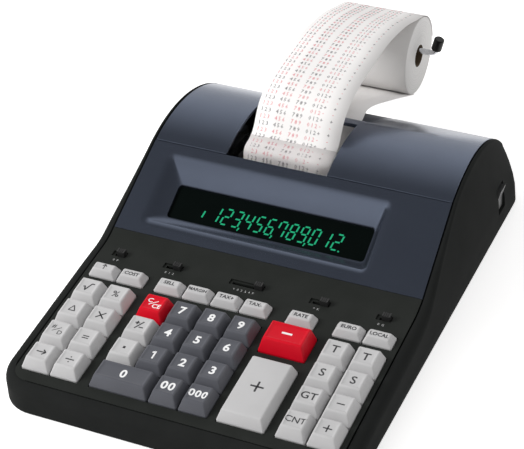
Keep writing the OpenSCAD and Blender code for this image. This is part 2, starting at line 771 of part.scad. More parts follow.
module slide_knob(i) color("#101110") kb() translate([sw_x[i], sw_v, 0]) {
  difference() {
    translate([-knob_l / 2, -knob_w / 2, run_fit - slot_depth]) cube([knob_l, knob_w, slot_depth + 1.6]);
    for (x = [-1.2, 0, 1.2]) translate([x - 0.3, -knob_w, 1.2]) cube([0.6, 2 * knob_w, 1]);
  }
  translate([-1, -0.9, -plate_t - 0.5]) cube([2, 1.8, plate_t]);
  translate([-2.5, -2, -plate_t - run_fit - 0.8]) cube([5, 4, 0.8]);
}

// key cap with a hollow skirt, on a stem with a stop flange
module cap(w, d, h, ft, dish) {
  difference() {
    intersection() {
      rotate([90, 0, 0]) linear_extrude(d + 2, center = true) {
        polygon([[-w / 2, -skirt], [w / 2, -skirt], [w / 2, 0.6], [w / 2 - key_taper, h],
          [key_taper - w / 2, h], [-w / 2, 0.6]]);
      }
      rotate([90, 0, 90]) linear_extrude(w + 2, center = true) difference() {
        polygon([[-d / 2, -skirt], [d / 2, -skirt], [d / 2, 0.6], [d / 2 - key_taper * 0.7, h],
          [ft - d / 2, h], [-d / 2, 0.6]]);
        if (dish > 0) dish_at(d, h, ft, dish);
      }
    }
    translate([-w / 2 + 3, -d / 2 + 3, -skirt - 1]) cube([w - 6, d - 6.4, skirt + 1 + h * 0.4]);
  }
  translate([0, 0, -tray_d - run_fit - flange_t]) {
    cylinder(d = stem_d, h = tray_d + run_fit + flange_t + h * 0.4 + overlap);
    cylinder(d = stem_d + 1.6, h = flange_t);
  }
}
module dish_at(d, h, ft, dish) {
  half = (d - ft - key_taper * 0.7) / 2 - 0.4;
  r = (half * half + dish * dish) / (2 * dish);
  translate([(ft - key_taper * 0.7) / 2, h - dish + r]) circle(r = r, $fn = 96);
}

module std_key(x, v) kb() translate([x, v, 0]) cap(key_w, key_d, key_h, key_front_taper, key_dish);
module small_key(x) kb() translate([x, small_v, 0])
  cap(key_w, small_key_d, small_key_h, key_front_taper * 0.7, key_dish * 0.5);

module function_keys_left() color(light) for (x = small_left) small_key(x);
module function_keys_right() color(light) for (x = small_right) small_key(x);
module switch_round() slide_knob(0);
module switch_print() slide_knob(1);
module switch_point() slide_knob(2);
module switch_total() slide_knob(3);
module switch_rate() slide_knob(4);
module key_root() color(light) std_key(col_a, row_3);
module key_delta() color(light) std_key(col_a, row_2);
module key_sharp() color(light) std_key(col_a, row_1);
module key_back() color(light) std_key(col_a, row_v0);
module key_percent() color(light) std_key(col_b, row_3);
module key_times() color(light) std_key(col_b, row_2);
module key_equals() color(light) std_key(col_b, row_1);
module key_divide() color(light) std_key(col_b, row_v0);
module key_clear() color(red) std_key(col_c, row_3);
module key_sign() color(light) std_key(col_c, row_2);
module key_point() color(light) std_key(col_c, row_1);
module key_0() color(dark) kb() translate([(col_c + col_d) / 2, row_v0, 0]) {
  cap(key_pitch_x + key_w, key_d, key_h, key_front_taper, key_dish);
}
module key_7() color(dark) std_key(col_d, row_3);
module key_4() color(dark) std_key(col_d, row_2);
module key_1() color(dark) std_key(col_d, row_1);
module key_8() color(dark) std_key(col_e, row_3);
module key_5() color(dark) std_key(col_e, row_2);
module key_2() color(dark) std_key(col_e, row_1);
module key_00() color(dark) std_key(col_e, row_v0);
module key_9() color(dark) std_key(col_f, row_3);
module key_6() color(dark) std_key(col_f, row_2);
module key_3() color(dark) std_key(col_f, row_1);
module key_000() color(dark) std_key(col_f, row_v0);
module key_minus() color(red) kb() translate([col_g, minus_v, 0]) {
  cap(wide_key_w, minus_d, minus_key_h, key_front_taper, key_dish);
}
module key_plus() color(light) kb() translate([col_g, plus_v, 0]) {
  cap(wide_key_w, plus_key_d, key_h, key_front_taper, 0);
}
module key_total() color(light) std_key(col_h, row_3);
module key_subtotal() color(light) std_key(col_h, row_2);
module key_grand() color(light) std_key(col_h, row_1);
module key_count() color(light) std_key(col_h, row_v0);
module key_total_2() color(light) std_key(col_i, row_3);
module key_subtotal_2() color(light) std_key(col_i, row_2);
module key_memory_minus() color(light) std_key(col_i, row_1);
module key_memory_plus() color(light) std_key(col_i, row_v0);

// the origin lies below the middle of the whole machine
translate([0, -(total_d + nose_y) / 2, 0]) {
  base_case();
  keyboard_panel();
  display_bezel();
  printer_cover();
  display_window();
  display_tube();
  main_board();
  printer_frame();
  print_motor();
  platen_roller();
  print_drum();
  ink_roller();
  tear_bar();
  paper_roll();
  roll_holder();
  paper_tape();
  transformer();
  feet();
  case_screws();
  power_rocker();
  switch_round();
  switch_print();
  switch_point();
  switch_total();
  switch_rate();
  function_keys_left();
  function_keys_right();
  key_root();
  key_delta();
  key_sharp();
  key_back();
  key_percent();
  key_times();
  key_equals();
  key_divide();
  key_clear();
  key_sign();
  key_point();
  key_0();
  key_7();
  key_4();
  key_1();
  key_8();
  key_5();
  key_2();
  key_00();
  key_9();
  key_6();
  key_3();
  key_000();
  key_minus();
  key_plus();
  key_total();
  key_subtotal();
  key_grand();
  key_count();
  key_total_2();
  key_subtotal_2();
  key_memory_minus();
  key_memory_plus();
}
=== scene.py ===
import json
import math

import bmesh
import bpy
from mathutils import Matrix, Vector
from mathutils.bvhtree import BVHTree


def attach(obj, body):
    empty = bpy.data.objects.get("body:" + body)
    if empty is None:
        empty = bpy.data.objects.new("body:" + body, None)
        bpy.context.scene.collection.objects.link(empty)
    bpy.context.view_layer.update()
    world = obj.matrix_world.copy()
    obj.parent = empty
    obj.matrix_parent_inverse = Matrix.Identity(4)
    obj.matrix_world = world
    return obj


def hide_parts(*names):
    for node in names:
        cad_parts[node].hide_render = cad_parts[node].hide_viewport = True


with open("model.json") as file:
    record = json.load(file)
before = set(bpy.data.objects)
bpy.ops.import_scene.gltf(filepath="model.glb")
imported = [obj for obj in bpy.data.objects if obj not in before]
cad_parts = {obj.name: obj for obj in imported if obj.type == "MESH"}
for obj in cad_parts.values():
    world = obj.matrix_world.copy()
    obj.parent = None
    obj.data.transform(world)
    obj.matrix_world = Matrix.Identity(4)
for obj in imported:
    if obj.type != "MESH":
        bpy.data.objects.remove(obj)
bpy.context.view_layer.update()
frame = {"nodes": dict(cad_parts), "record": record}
nodes = frame["nodes"]
record = frame["record"]
body_of = {node: body for body, members in record["behaviour"]["bodies"].items() for node in members}
slot_of = {part["node"]: part["material_slot"] for part in record["subparts"]}

# Pieces are modelled in millimetres: X from the middle, Y from the front of the case, Z from the table.
# Seen from the side, the case has the keyboard's slope, a bend, the bezel's slope and the cover's crown.
MILLIMETRE = 0.001
FRONT_Y = -195.7225
CASE_HALF, CASE_FRONT, CASE_BACK = 108.025, 0.6, 306
FRONT_CORNER, REAR_CORNER = 22, 14
PANEL_Y, PANEL_Z, PANEL_TILT = 7.5, 19.150, 5
BEND_START, BEND_Y, BEND_Z, BEND_R = 123.358, 119.77, 70.290, 41.156
BEZEL_Y, BEZEL_Z, BEZEL_TILT, BEZEL_HALF = 138.455, 33.6156, 27, 100.35
CROWN_START, CROWN_Y, CROWN_Z, CROWN_R = 195.822, 230.988, -20.0, 90.0
PLATEN_Y, PLATEN_Z, PLATEN_R = 211.988, 46, 8.5
ROLL_Y, ROLL_Z, ROLL_R = 363.0, 52.5, 27
PAPER_X, PAPER_W, PAPER_THICK = -12.5, 57.5, 0.12
MACHINE = Matrix.Scale(MILLIMETRE, 4) @ Matrix.Translation((0, FRONT_Y, 0))


def tilted(y, z, degrees):
    """The frame of a part of the machine, from its place and its slope."""
    return MACHINE @ Matrix.Translation((0, y, z)) @ Matrix.Rotation(math.radians(degrees), 4, "X")


KEYBOARD = tilted(PANEL_Y, PANEL_Z, PANEL_TILT)
BEZEL = tilted(BEZEL_Y, BEZEL_Z, BEZEL_TILT)
CROWN = tilted(CROWN_Y, CROWN_Z, 0)
ROLL = MACHINE @ Matrix.Translation((PAPER_X, ROLL_Y, ROLL_Z))


# Finishes

GRAIN_DEPTH = 0.0001
GLOSS_SWING = 0.06


def noise(tree, place, scale, detail):
    """Noise over the places of a surface."""
    made = tree.nodes.new("ShaderNodeTexNoise")
    made.inputs["Scale"].default_value = scale
    made.inputs["Detail"].default_value = detail
    tree.links.new(place, made.inputs["Vector"])
    return made.outputs["Fac"]


def two_tones(tree, value, low, high, shade, colour):
    """Colours a surface from one tone to another, as a value goes from low to high."""
    tone = tree.nodes.new("ShaderNodeValToRGB")
    for stop, place, tint in zip(tone.color_ramp.elements, (low, high), (shade, colour)):
        stop.position = place
        stop.color = (*tint, 1)
    tree.links.new(value, tone.inputs["Fac"])
    tree.links.new(tone.outputs["Color"], tree.nodes["Principled BSDF"].inputs["Base Color"])


def finish(name, colour, shade, rough, patch=60, grain=2200, bump=0.12, **sockets):
    """A surface with slow colour drift between two tones, uneven gloss and a fine grain."""
    material = bpy.data.materials.new(name)
    material.use_nodes = True
    tree = material.node_tree
    add, link = tree.nodes.new, tree.links.new
    surface = tree.nodes["Principled BSDF"]
    place = add("ShaderNodeTexCoord").outputs["Object"]
    two_tones(tree, noise(tree, place, patch, 3), 0.3, 0.7, shade, colour)
    fine = noise(tree, place, grain, 2)
    gloss = add("ShaderNodeMapRange")
    gloss.inputs["To Min"].default_value = rough - GLOSS_SWING
    gloss.inputs["To Max"].default_value = rough + GLOSS_SWING
    link(fine, gloss.inputs["Value"])
    link(gloss.outputs["Result"], surface.inputs["Roughness"])
    relief = add("ShaderNodeBump")
    relief.inputs["Strength"].default_value = bump
    relief.inputs["Distance"].default_value = GRAIN_DEPTH
    link(fine, relief.inputs["Height"])
    link(relief.outputs["Normal"], surface.inputs["Normal"])
    for socket, value in sockets.items():
        surface.inputs[socket.replace("_", " ")].default_value = value
    return material


def wound(name, colour, shade, centre):
    """Paper seen on the end of a roll: thin rings about the roll's axis."""
    material = finish(name, colour, shade, 0.75, patch=40, grain=900, bump=0.1, Specular_IOR_Level=0.15)
    tree = material.node_tree
    add, link = tree.nodes.new, tree.links.new
    flat = add("ShaderNodeMapping")
    flat.inputs["Location"].default_value = (0, -centre.y, -centre.z)
    flat.inputs["Scale"].default_value = (0, 1, 1)
    link(add("ShaderNodeTexCoord").outputs["Object"], flat.inputs["Vector"])
    reach = add("ShaderNodeVectorMath")
    reach.operation = "LENGTH"
    link(flat.outputs["Vector"], reach.inputs[0])
    rings = add("ShaderNodeTexNoise")
    rings.noise_dimensions = "1D"
    rings.inputs["Scale"].default_value = 2400
    link(reach.outputs["Value"], rings.inputs["W"])
    two_tones(tree, rings.outputs["Fac"], 0.35, 0.6, shade, colour)
    return material


case_black = finish("case_black", (0.019, 0.020, 0.0195), (0.0165, 0.0175, 0.017), 0.6,
                    Specular_IOR_Level=0.01)
panel_charcoal = finish("panel_charcoal", (0.0225, 0.0245, 0.0225), (0.019, 0.021, 0.019), 0.55,
                        Specular_IOR_Level=0.1)
cover_slate = finish("cover_slate", (0.125, 0.147, 0.20), (0.119, 0.14, 0.19), 0.24, bump=0.004,
                     Metallic=0.85)
window_dark = finish("window_dark", (0.0022, 0.0040, 0.0036), (0.0018, 0.0034, 0.003), 0.2, bump=0.01,
                     Specular_IOR_Level=0.08)
segment_green = finish("segment_green", (0.004, 0.25, 0.12), (0.003, 0.22, 0.11), 0.4, bump=0.0,
                       Emission_Color=(0.008, 0.40, 0.17, 1), Emission_Strength=0.45)
tube_glass = finish("tube_glass", (0.05, 0.12, 0.09), (0.04, 0.10, 0.08), 0.12, bump=0.02)
board_green = finish("board_green", (0.03, 0.11, 0.05), (0.02, 0.09, 0.04), 0.45)
frame_steel = finish("frame_steel", (0.50, 0.51, 0.53), (0.43, 0.44, 0.46), 0.35, Metallic=1.0)
frame_black = finish("frame_black", (0.008, 0.008, 0.009), (0.006, 0.006, 0.007), 0.25,
                     Specular_IOR_Level=0.4)
core_iron = finish("core_iron", (0.07, 0.075, 0.08), (0.05, 0.055, 0.06), 0.5)
roller_rubber = finish("roller_rubber", (0.02, 0.02, 0.02), (0.016, 0.016, 0.016), 0.7)
foot_rubber = finish("foot_rubber", (0.012, 0.012, 0.012), (0.01, 0.01, 0.01), 0.8)
drum_grey = finish("drum_grey", (0.20, 0.21, 0.23), (0.17, 0.18, 0.20), 0.4)
ink_felt = finish("ink_felt", (0.03, 0.02, 0.06), (0.02, 0.015, 0.045), 0.9, grain=1500, bump=0.4)
clear_bar = finish("clear_bar", (0.80, 0.79, 0.79), (0.78, 0.77, 0.77), 0.1, bump=0.0,
                   Transmission_Weight=1.0, IOR=1.05)
paper_white = finish("paper_white", (0.92, 0.90, 0.89), (0.89, 0.87, 0.86), 0.8, patch=25, grain=1800,
                     Specular_IOR_Level=0.1)
paper_end = wound("paper_end", (0.86, 0.85, 0.84), (0.73, 0.72, 0.71), ROLL.translation)
ink_black = finish("ink_black", (0.09, 0.085, 0.09), (0.18, 0.17, 0.18), 0.8, patch=900)
ink_red = finish("ink_red", (0.70, 0.16, 0.19), (0.78, 0.34, 0.36), 0.8, patch=900)
wire_chrome = finish("wire_chrome", (0.72, 0.73, 0.75), (0.62, 0.63, 0.66), 0.16, bump=0.02, Metallic=1.0)
cap_black = finish("cap_black", (0.006, 0.006, 0.006), (0.004, 0.004, 0.004), 0.35, Specular_IOR_Level=0.3)
card_brown = finish("card_brown", (0.085, 0.06, 0.04), (0.07, 0.05, 0.033), 0.85, grain=1200, bump=0.3,
                    Specular_IOR_Level=0.1)
rocker_grey = finish("rocker_grey", (0.062, 0.063, 0.064), (0.052, 0.053, 0.055), 0.4)
switch_black = finish("switch_black", (0.022, 0.022, 0.022), (0.018, 0.018, 0.018), 0.35,
                      Specular_IOR_Level=0.5)
brass_pin = finish("brass_pin", (0.62, 0.50, 0.26), (0.52, 0.41, 0.2), 0.3, Metallic=1.0)
key_light = finish("key_light", (0.54, 0.535, 0.538), (0.51, 0.505, 0.508), 0.5, bump=0.07,
                   Specular_IOR_Level=0.25)
key_dark = finish("key_dark", (0.105, 0.108, 0.124), (0.094, 0.097, 0.112), 0.46, bump=0.07,
                  Specular_IOR_Level=0.3)
key_red = finish("key_red", (0.66, 0.003, 0.017), (0.60, 0.003, 0.015), 0.4, bump=0.05,
                 Specular_IOR_Level=0.2)
legend_grey = finish("legend_grey", (0.045, 0.045, 0.048), (0.035, 0.035, 0.038), 0.6, bump=0.0)
legend_white = finish("legend_white", (0.88, 0.88, 0.88), (0.84, 0.84, 0.84), 0.6, bump=0.0)
mark_white = finish("mark_white", (0.42, 0.42, 0.42), (0.36, 0.36, 0.36), 0.7, bump=0.0)


# Making a piece

def as_mesh(name, bm):
    mesh = bpy.data.meshes.new(name)
    bm.to_mesh(mesh)
    bm.free()
    return mesh


def in_scene(name, data):
    made = bpy.data.objects.new(name, data)
    bpy.context.scene.collection.objects.link(made)
    return made


def shown_mesh(made):
    """The mesh that an object shows, with its modifiers or its curve worked out."""
    bpy.context.view_layer.update()
    return bpy.data.meshes.new_from_object(made.evaluated_get(bpy.context.evaluated_depsgraph_get()))


def piece(name, bm, place, material, body="case", stands_for=(), slot=None, sharp=35):
    """Puts a mesh in its place as a piece that rides on a body and may stand for a CAD node."""
    bm.transform(place)
    mesh = as_mesh(name, bm)
    mesh.materials.append(material)
    mesh.shade_smooth()
    mesh.set_sharp_from_angle(angle=math.radians(sharp))
    made = in_scene(name, mesh)
    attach(made, body)
    if stands_for:
        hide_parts(*stands_for)
    return made


def rounded(made, width, segments=3, angle=40):
    """Rounds the sharp edges of a piece. The width is in millimetres."""
    edge = made.modifiers.new("edge", "BEVEL")
    edge.width = width * MILLIMETRE
    edge.segments = segments
    edge.limit_method = "ANGLE"
    edge.angle_limit = math.radians(angle)
    edge.harden_normals = True
    return made


def softened(node, name, material, width=0.0, sharp=30):
    """The solid's own shape, merged, shaded smooth, with its edges rounded."""
    bm = bmesh.new()
    bm.from_mesh(nodes[node].data)
    bmesh.ops.remove_doubles(bm, verts=bm.verts[:], dist=1e-6)
    bmesh.ops.dissolve_limit(bm, angle_limit=math.radians(0.6), verts=bm.verts[:], edges=bm.edges[:])
    made = piece(name, bm, Matrix.Identity(4), material, body_of[node], (node,), sharp=sharp)
    return rounded(made, width, 2) if width else made


def box(bm, middle, size):
    bmesh.ops.create_cube(bm, size=1, matrix=Matrix.Translation(middle) @ Matrix.Diagonal((*size, 1)))


def peg(bm, place, low_r, high_r, length, sides):
    """A closed round peg along the Z axis of a place."""
    bmesh.ops.create_cone(bm, cap_ends=True, segments=sides, radius1=low_r, radius2=high_r, depth=length,
                          matrix=place)


def carved(made, *cutters):
    """Cuts each box, given by two corners in machine millimetres, out of a piece."""
    for low, high in cutters:
        low, high = Vector(low), Vector(high)
        bm = bmesh.new()
        box(bm, (low + high) / 2, high - low)
        bm.transform(MACHINE)
        cutter = in_scene("cutter", as_mesh("cutter", bm))
        cut = made.modifiers.new("cut", "BOOLEAN")
        cut.operation = "DIFFERENCE"
        cut.object = cutter
        cut_mesh = shown_mesh(made)
        made.modifiers.clear()
        made.data = cut_mesh
        bpy.data.objects.remove(cutter)
    return made


def joined(bm, other):
    """Moves another mesh into this one and gives its edges there."""
    first = len(bm.edges)
    mesh = as_mesh("joined", other)
    bm.from_mesh(mesh)
    bpy.data.meshes.remove(mesh)
    bm.edges.ensure_lookup_table()
    return bm.edges[first:]


def split(bm, point, way):
    """Cuts every face of a mesh along a plane and keeps both sides."""
    bmesh.ops.bisect_plane(bm, geom=bm.verts[:] + bm.edges[:] + bm.faces[:], plane_co=point, plane_no=way)


def bevelled(bm, edges, width, segments):
    bmesh.ops.bevel(bm, geom=edges, offset=width, offset_type="OFFSET", segments=segments, profile=0.5,
                    affect="EDGES", material=-1)


def lowest(bm):
    return min(bm.faces, key=lambda f: f.calc_center_median().z)


def pulled_down(bm, face, depth):
    """Extrudes a face downwards and gives the new one."""
    new = bmesh.ops.extrude_discrete_faces(bm, faces=[face])["faces"][0]
    bmesh.ops.translate(bm, verts=new.verts[:], vec=(0, 0, -depth))
    return new


def walled(bm, thickness):
    """Turns the faces of an open sheet upwards and gives it a wall."""
    bmesh.ops.recalc_face_normals(bm, faces=bm.faces[:])
    if sum(f.normal.z for f in bm.faces) < 0:
        bmesh.ops.reverse_faces(bm, faces=bm.faces[:])
    bmesh.ops.solidify(bm, geom=bm.faces[:], thickness=thickness)


# Words and signs

# Half the thickness of the ink, the distance of the cuts in it, and a height above all the caps.
INK_HALF, INK_STEP, ABOVE_CAPS = 0.03, 0.7, 40


def bar(bm, start, end, width):
    """A flat stroke from one point to another."""
    start, end = Vector(start), Vector(end)
    run = end - start
    turn = Matrix.Rotation(math.atan2(run.y, run.x), 4, "Z")
    middle = Matrix.Translation(((start.x + end.x) / 2, (start.y + end.y) / 2, INK_HALF))
    size = Matrix.Diagonal((run.length, width, 2 * INK_HALF, 1))
    return bmesh.ops.create_cube(bm, size=1, matrix=middle @ turn @ size)["verts"]


def stroke(bm, x, y, start, end, width, scale=1):
    """A bar whose ends are counted from a point, in units of the scale."""
    bar(bm, (x + start[0] * scale, y + start[1] * scale), (x + end[0] * scale, y + end[1] * scale), width)


def lettering(bm, words, size, x=0.0, y=0.0, bold=0.0, spacing=1.0, resolution=3):
    """Adds raised words to a mesh, centred on a point."""
    curve = bpy.data.curves.new("words", "FONT")
    curve.body = words
    curve.size = size
    curve.offset = bold * size
    curve.extrude = INK_HALF
    curve.resolution_u = resolution
    curve.space_character = spacing
    curve.align_x = "CENTER"
    curve.align_y = "CENTER"
    text = in_scene("words", curve)
    mesh = shown_mesh(text)
    bpy.data.objects.remove(text)
    bpy.data.curves.remove(curve)
    first = len(bm.verts)
    bm.from_mesh(mesh)
    bpy.data.meshes.remove(mesh)
    bm.verts.ensure_lookup_table()
    added = bm.verts[first:]
    middle = [(min(v.co[k] for v in added) + max(v.co[k] for v in added)) / 2 for k in (0, 1)]
    bmesh.ops.translate(bm, verts=added, vec=(x - middle[0], y - middle[1], INK_HALF))


def laid_on(words, cap):
    """Drops flat words on to the top of a cap, cut finely enough to follow its hollow."""
    for axis, way in enumerate((Vector((1, 0, 0)), Vector((0, 1, 0)))):
        low = min(v.co[axis] for v in words.verts)
        high = max(v.co[axis] for v in words.verts)
        for k in range(1, int((high - low) / INK_STEP) + 1):
            split(words, way * (low + INK_STEP * k), way)
    bmesh.ops.dissolve_degenerate(words, dist=1e-4, edges=words.edges[:])
    tree = BVHTree.FromBMesh(cap)
    for v in words.verts:
        top = tree.ray_cast(Vector((v.co.x, v.co.y, ABOVE_CAPS)), Vector((0, 0, -1)))[0]
        v.co.z = top.z + (INK_HALF if v.co.z > INK_HALF else -INK_HALF)


# The lower case

RIM_R, RIM_STEPS, RIM_GAP, RIM_FLAT = 6.5, 8, 0.6, 0.0885
# Where the rim's rounding starts to narrow, over which length, and by how much.
RIM_NARROWS, RIM_RUN, RIM_LOSS = 105, 100, 4.6
# What half the width loses along the bezel, and per millimetre along the cover.
BEZEL_TAPER, COVER_TAPER = 2.35, 0.028
LIP_TOP, TUB_FLOOR = 1.6, 5.0
CORNER_STEPS, SIDE_CUTS = 14, 119
# Inset and height of the rings of the lower lip, from its inner edge to the side wall.
LIP_RINGS = ((3.4, 2.5), (3.2, 0.7), (0.6, 0.7), (0.15, 1.0), (0, LIP_TOP))
# Rings of the side wall, as parts of its height.
WALL_RINGS = (0.3, 0.5, 0.7, 0.85, 0.95)
# Rings from the rim's top into the tub: width past the cover, front, back, front and rear corners, drop.
MOUTH_RINGS = ((0.95, 6.85, 295.5, 13.5, 6, 0), (0.9, 6.9, 291.0, 12.5, 4.5, 0),
               (0.8, 6.95, 287.4, 11.2, 3, 0), (0.55, 7.05, 287.0, 11.0, 2.5, 0.4),
               (0.5, 7.1, 286.9, 10.8, 2.4, 3.0))
TUB_RING = (-2.15, 10.8, 284.0, 6.2, 2.0)
TUB_DROP = 3.0
ROCKER_HOLE = (99.4, 260, 12.4), (112, 272, 31.6)
INLET_POCKET = (46, 290.2, 11), (66, 312, 23)


def top_height(y):
    """Height of the case's top line: keyboard slope, bend, bezel slope and curved cover."""
    if y < BEND_START:
        return PANEL_Z + (y - PANEL_Y) * math.tan(math.radians(PANEL_TILT))
    if y < BEZEL_Y:
        return BEND_Z - math.sqrt(BEND_R ** 2 - (y - BEND_Y) ** 2)
    if y < CROWN_START:
        return BEZEL_Z + (y - BEZEL_Y) * math.tan(math.radians(BEZEL_TILT))
    return CROWN_Z + math.sqrt(CROWN_R ** 2 - (y - CROWN_Y) ** 2)


def cover_half(y):
    """Half the width of the bezel and the cover: it narrows towards the back."""
    along_bezel = min(1, max(0, (y - BEZEL_Y) / (CROWN_START - BEZEL_Y)))
    return BEZEL_HALF - BEZEL_TAPER * along_bezel - COVER_TAPER * max(0, y - CROWN_START)


def edge_radius(y):
    """Rounding of the rim's outer edge: wide beside the keys, narrow beside the cover."""
    t = min(1, max(0, (y - RIM_NARROWS) / RIM_RUN))
    return RIM_R - RIM_LOSS * t * t * (3 - 2 * t)


def rim_half(y, out):
    """Half the width of the rim, from the top (0) to the side (1) of its rounding."""
    return cover_half(y) + RIM_GAP + (RIM_FLAT + out) * edge_radius(y)


def outline(half_at, front, back, front_r, back_r, height):
    """An outline with round corners, and a width and a height at each place along the machine."""
    bm = bmesh.new()
    half = half_at(0)
    places = ((-half, front, 0), (half, front, 0), (half, back, 0), (-half, back, 0))
    corners = [bm.verts.new(place) for place in places]
    bm.faces.new(corners)
    for ends, radius in ((corners[:2], front_r), (corners[2:], back_r)):
        bmesh.ops.bevel(bm, geom=ends, offset=radius, offset_type="OFFSET", segments=CORNER_STEPS,
                        profile=0.5, affect="VERTICES", material=-1)
    sides = [e for e in bm.edges if abs(e.verts[0].co.x - e.verts[1].co.x) < 0.01 and e.calc_length() > 50]
    for side in sides:
        bmesh.ops.subdivide_edges(bm, edges=[side], cuts=SIDE_CUTS)
    for v in bm.verts:
        v.co.z = height(v.co.y)
        v.co.x *= half_at(v.co.y) / half
    return bm


def case_ring(inset, half_at, height):
    return outline(half_at, CASE_FRONT + inset, CASE_BACK - inset, FRONT_CORNER - inset, REAR_CORNER - inset,
                   height)


def lip_ring(inset, z):
    return case_ring(inset, lambda y: CASE_HALF - inset, lambda y: z)


def wall_ring(part):
    """The side wall at a part of its height: upright below, leaning in above."""
    return case_ring(0, lambda y: CASE_HALF + (rim_half(y, 1) - CASE_HALF) * part ** 2,
                     lambda y: LIP_TOP + (top_height(y) - edge_radius(y) - LIP_TOP) * part)


def rim_ring(turn):
    """The rim's rounding, from the side wall (0) to the top (a quarter turn)."""
    out, drop = math.cos(turn), 1 - math.sin(turn)
    return case_ring(RIM_R * (1 - out), lambda y: rim_half(y, out),
                     lambda y: top_height(y) - drop * edge_radius(y))


def mouth_ring(past, front, back, front_r, back_r, drop):
    return outline(lambda y: cover_half(y) + past, front, back, front_r, back_r,
                   lambda y: top_height(y) - drop)


def case_shell():
    rings = [lip_ring(inset, z) for inset, z in LIP_RINGS]
    rings += [wall_ring(part) for part in WALL_RINGS]
    rings += [rim_ring(math.radians(k * 90 / RIM_STEPS)) for k in range(RIM_STEPS + 1)]
    rings += [mouth_ring(*ring) for ring in (*MOUTH_RINGS, (*TUB_RING, TUB_DROP))]
    rings.append(outline(lambda y: cover_half(y) + TUB_RING[0], *TUB_RING[1:], lambda y: TUB_FLOOR))
    bm = bmesh.new()
    loops = [joined(bm, ring) for ring in rings]
    bm.faces.ensure_lookup_table()
    bmesh.ops.delete(bm, geom=bm.faces[1:-1], context="FACES_ONLY")
    for lower, upper in zip(loops, loops[1:]):
        bmesh.ops.bridge_loops(bm, edges=lower + upper)
    bmesh.ops.recalc_face_normals(bm, faces=bm.faces[:])
    made = piece("case_shell", bm, MACHINE, case_black, stands_for=("base_case",), sharp=40)
    return carved(made, ROCKER_HOLE, INLET_POCKET)


case_shell()


# The panels

softened("keyboard_panel", "keyboard_plate", panel_charcoal, sharp=20)

# On the bezel's slope: its own size, the mouth of the recess, the recess's floor and the well of the window.
SURROUND_W, SURROUND_D, SURROUND_Y = 200.05, 63.9, 32.19
MOUTH_LEFT, MOUTH_RIGHT, MOUTH_FRONT, MOUTH_BACK = -83.9, 61.8, 8.74, 55.64
RECESS_LEFT, RECESS_RIGHT, RECESS_FRONT, RECESS_BACK, RECESS_DEPTH = -74.6, 57.4, 16.62, 41.62, 7
RECESS_ROUND = 2.6
WELL_EDGE, WELL_DEPTH = 0.9, 1.7
SURROUND_WALL, COVER_WALL = 1.6, 2.5
# Points of the bezel and the cover that lie further out than this are on their side edges.
PANEL_EDGE = 99


def display_surround():
    bm = bmesh.new()
    bmesh.ops.create_grid(bm, x_segments=1, y_segments=1, size=0.5,
                          matrix=Matrix.Translation((0, SURROUND_Y, 0))
                          @ Matrix.Diagonal((SURROUND_W, SURROUND_D, 1, 1)))
    for x in (MOUTH_LEFT, MOUTH_RIGHT):
        split(bm, (x, 0, 0), (1, 0, 0))
    for y in (MOUTH_FRONT, MOUTH_BACK):
        split(bm, (0, y, 0), (0, 1, 0))
    middle = Vector(((MOUTH_LEFT + MOUTH_RIGHT) / 2, SURROUND_Y, 0))
    mouth = min(bm.faces, key=lambda f: (f.calc_center_median() - middle).length)
    sunk = bmesh.ops.extrude_face_region(bm, geom=[mouth])["geom"]
    bmesh.ops.delete(bm, geom=[mouth], context="FACES_ONLY")
    for v in (g for g in sunk if isinstance(g, bmesh.types.BMVert)):
        v.co.x = RECESS_LEFT if v.co.x < middle.x else RECESS_RIGHT
        v.co.y = RECESS_FRONT if v.co.y < middle.y else RECESS_BACK
        v.co.z = -RECESS_DEPTH
    corners = [e for e in bm.edges if abs(e.verts[0].co.z - e.verts[1].co.z) > RECESS_DEPTH - 1]
    bevelled(bm, corners, RECESS_ROUND, 6)
    lips = [e for e in bm.edges if all(abs(v.co.z) < 1e-4 for v in e.verts)
            and any(f.normal.z < 0.98 for f in e.link_faces)]
    bevelled(bm, lips, RECESS_ROUND, 8)
    floor = lowest(bm)
    bmesh.ops.inset_individual(bm, faces=[floor], thickness=WELL_EDGE)
    bmesh.ops.delete(bm, geom=[pulled_down(bm, floor, WELL_DEPTH)], context="FACES_ONLY")
    for v in bm.verts:
        if abs(v.co.x) > PANEL_EDGE:
            v.co.x *= cover_half(BEZEL_Y + v.co.y * math.cos(math.radians(BEZEL_TILT))) / BEZEL_HALF
    walled(bm, SURROUND_WALL)
    made = piece("display_surround", bm, BEZEL, cover_slate, stands_for=("display_bezel",))
    return rounded(made, 0.45, 2, 60)


display_surround()

# Across the cover: its edge, the paper's outlet and inlet, and the chute behind the inlet.
COVER_EDGE, OUTLET_LEFT, INLET_LEFT, SLOTS_RIGHT = 100.025, -49.25, -45.25, 17.75
CHUTE_LEFT, CHUTE_RIGHT, CHUTE_DEPTH, CHUTE_FLARE = -46.25, 18.75, 4.5, 12
# Round the cover's crown, in degrees from the back, with the steps between these places.
COVER_FRONT, OUTLET_BACK, INLET_FRONT, INLET_BACK, COVER_BACK = 112.8, 80, 75, 66.5, 52.12
COVER_STEPS = ((OUTLET_BACK, 16), (INLET_FRONT, 3), (INLET_BACK, 4), (COVER_BACK, 8))
CHUTE_END, CHUTE_FADE, FLARE_TURN = 52.1, 10, 17


def crown_angle(place):
    return math.degrees(math.atan2(place.z, place.y))


def over_slot(place):
    """Whether a place on the cover lies over the paper's outlet or its inlet."""
    angle = crown_angle(place)
    if angle > OUTLET_BACK:
        return OUTLET_LEFT < place.x < SLOTS_RIGHT
    return INLET_BACK < angle < INLET_FRONT and INLET_LEFT < place.x < SLOTS_RIGHT


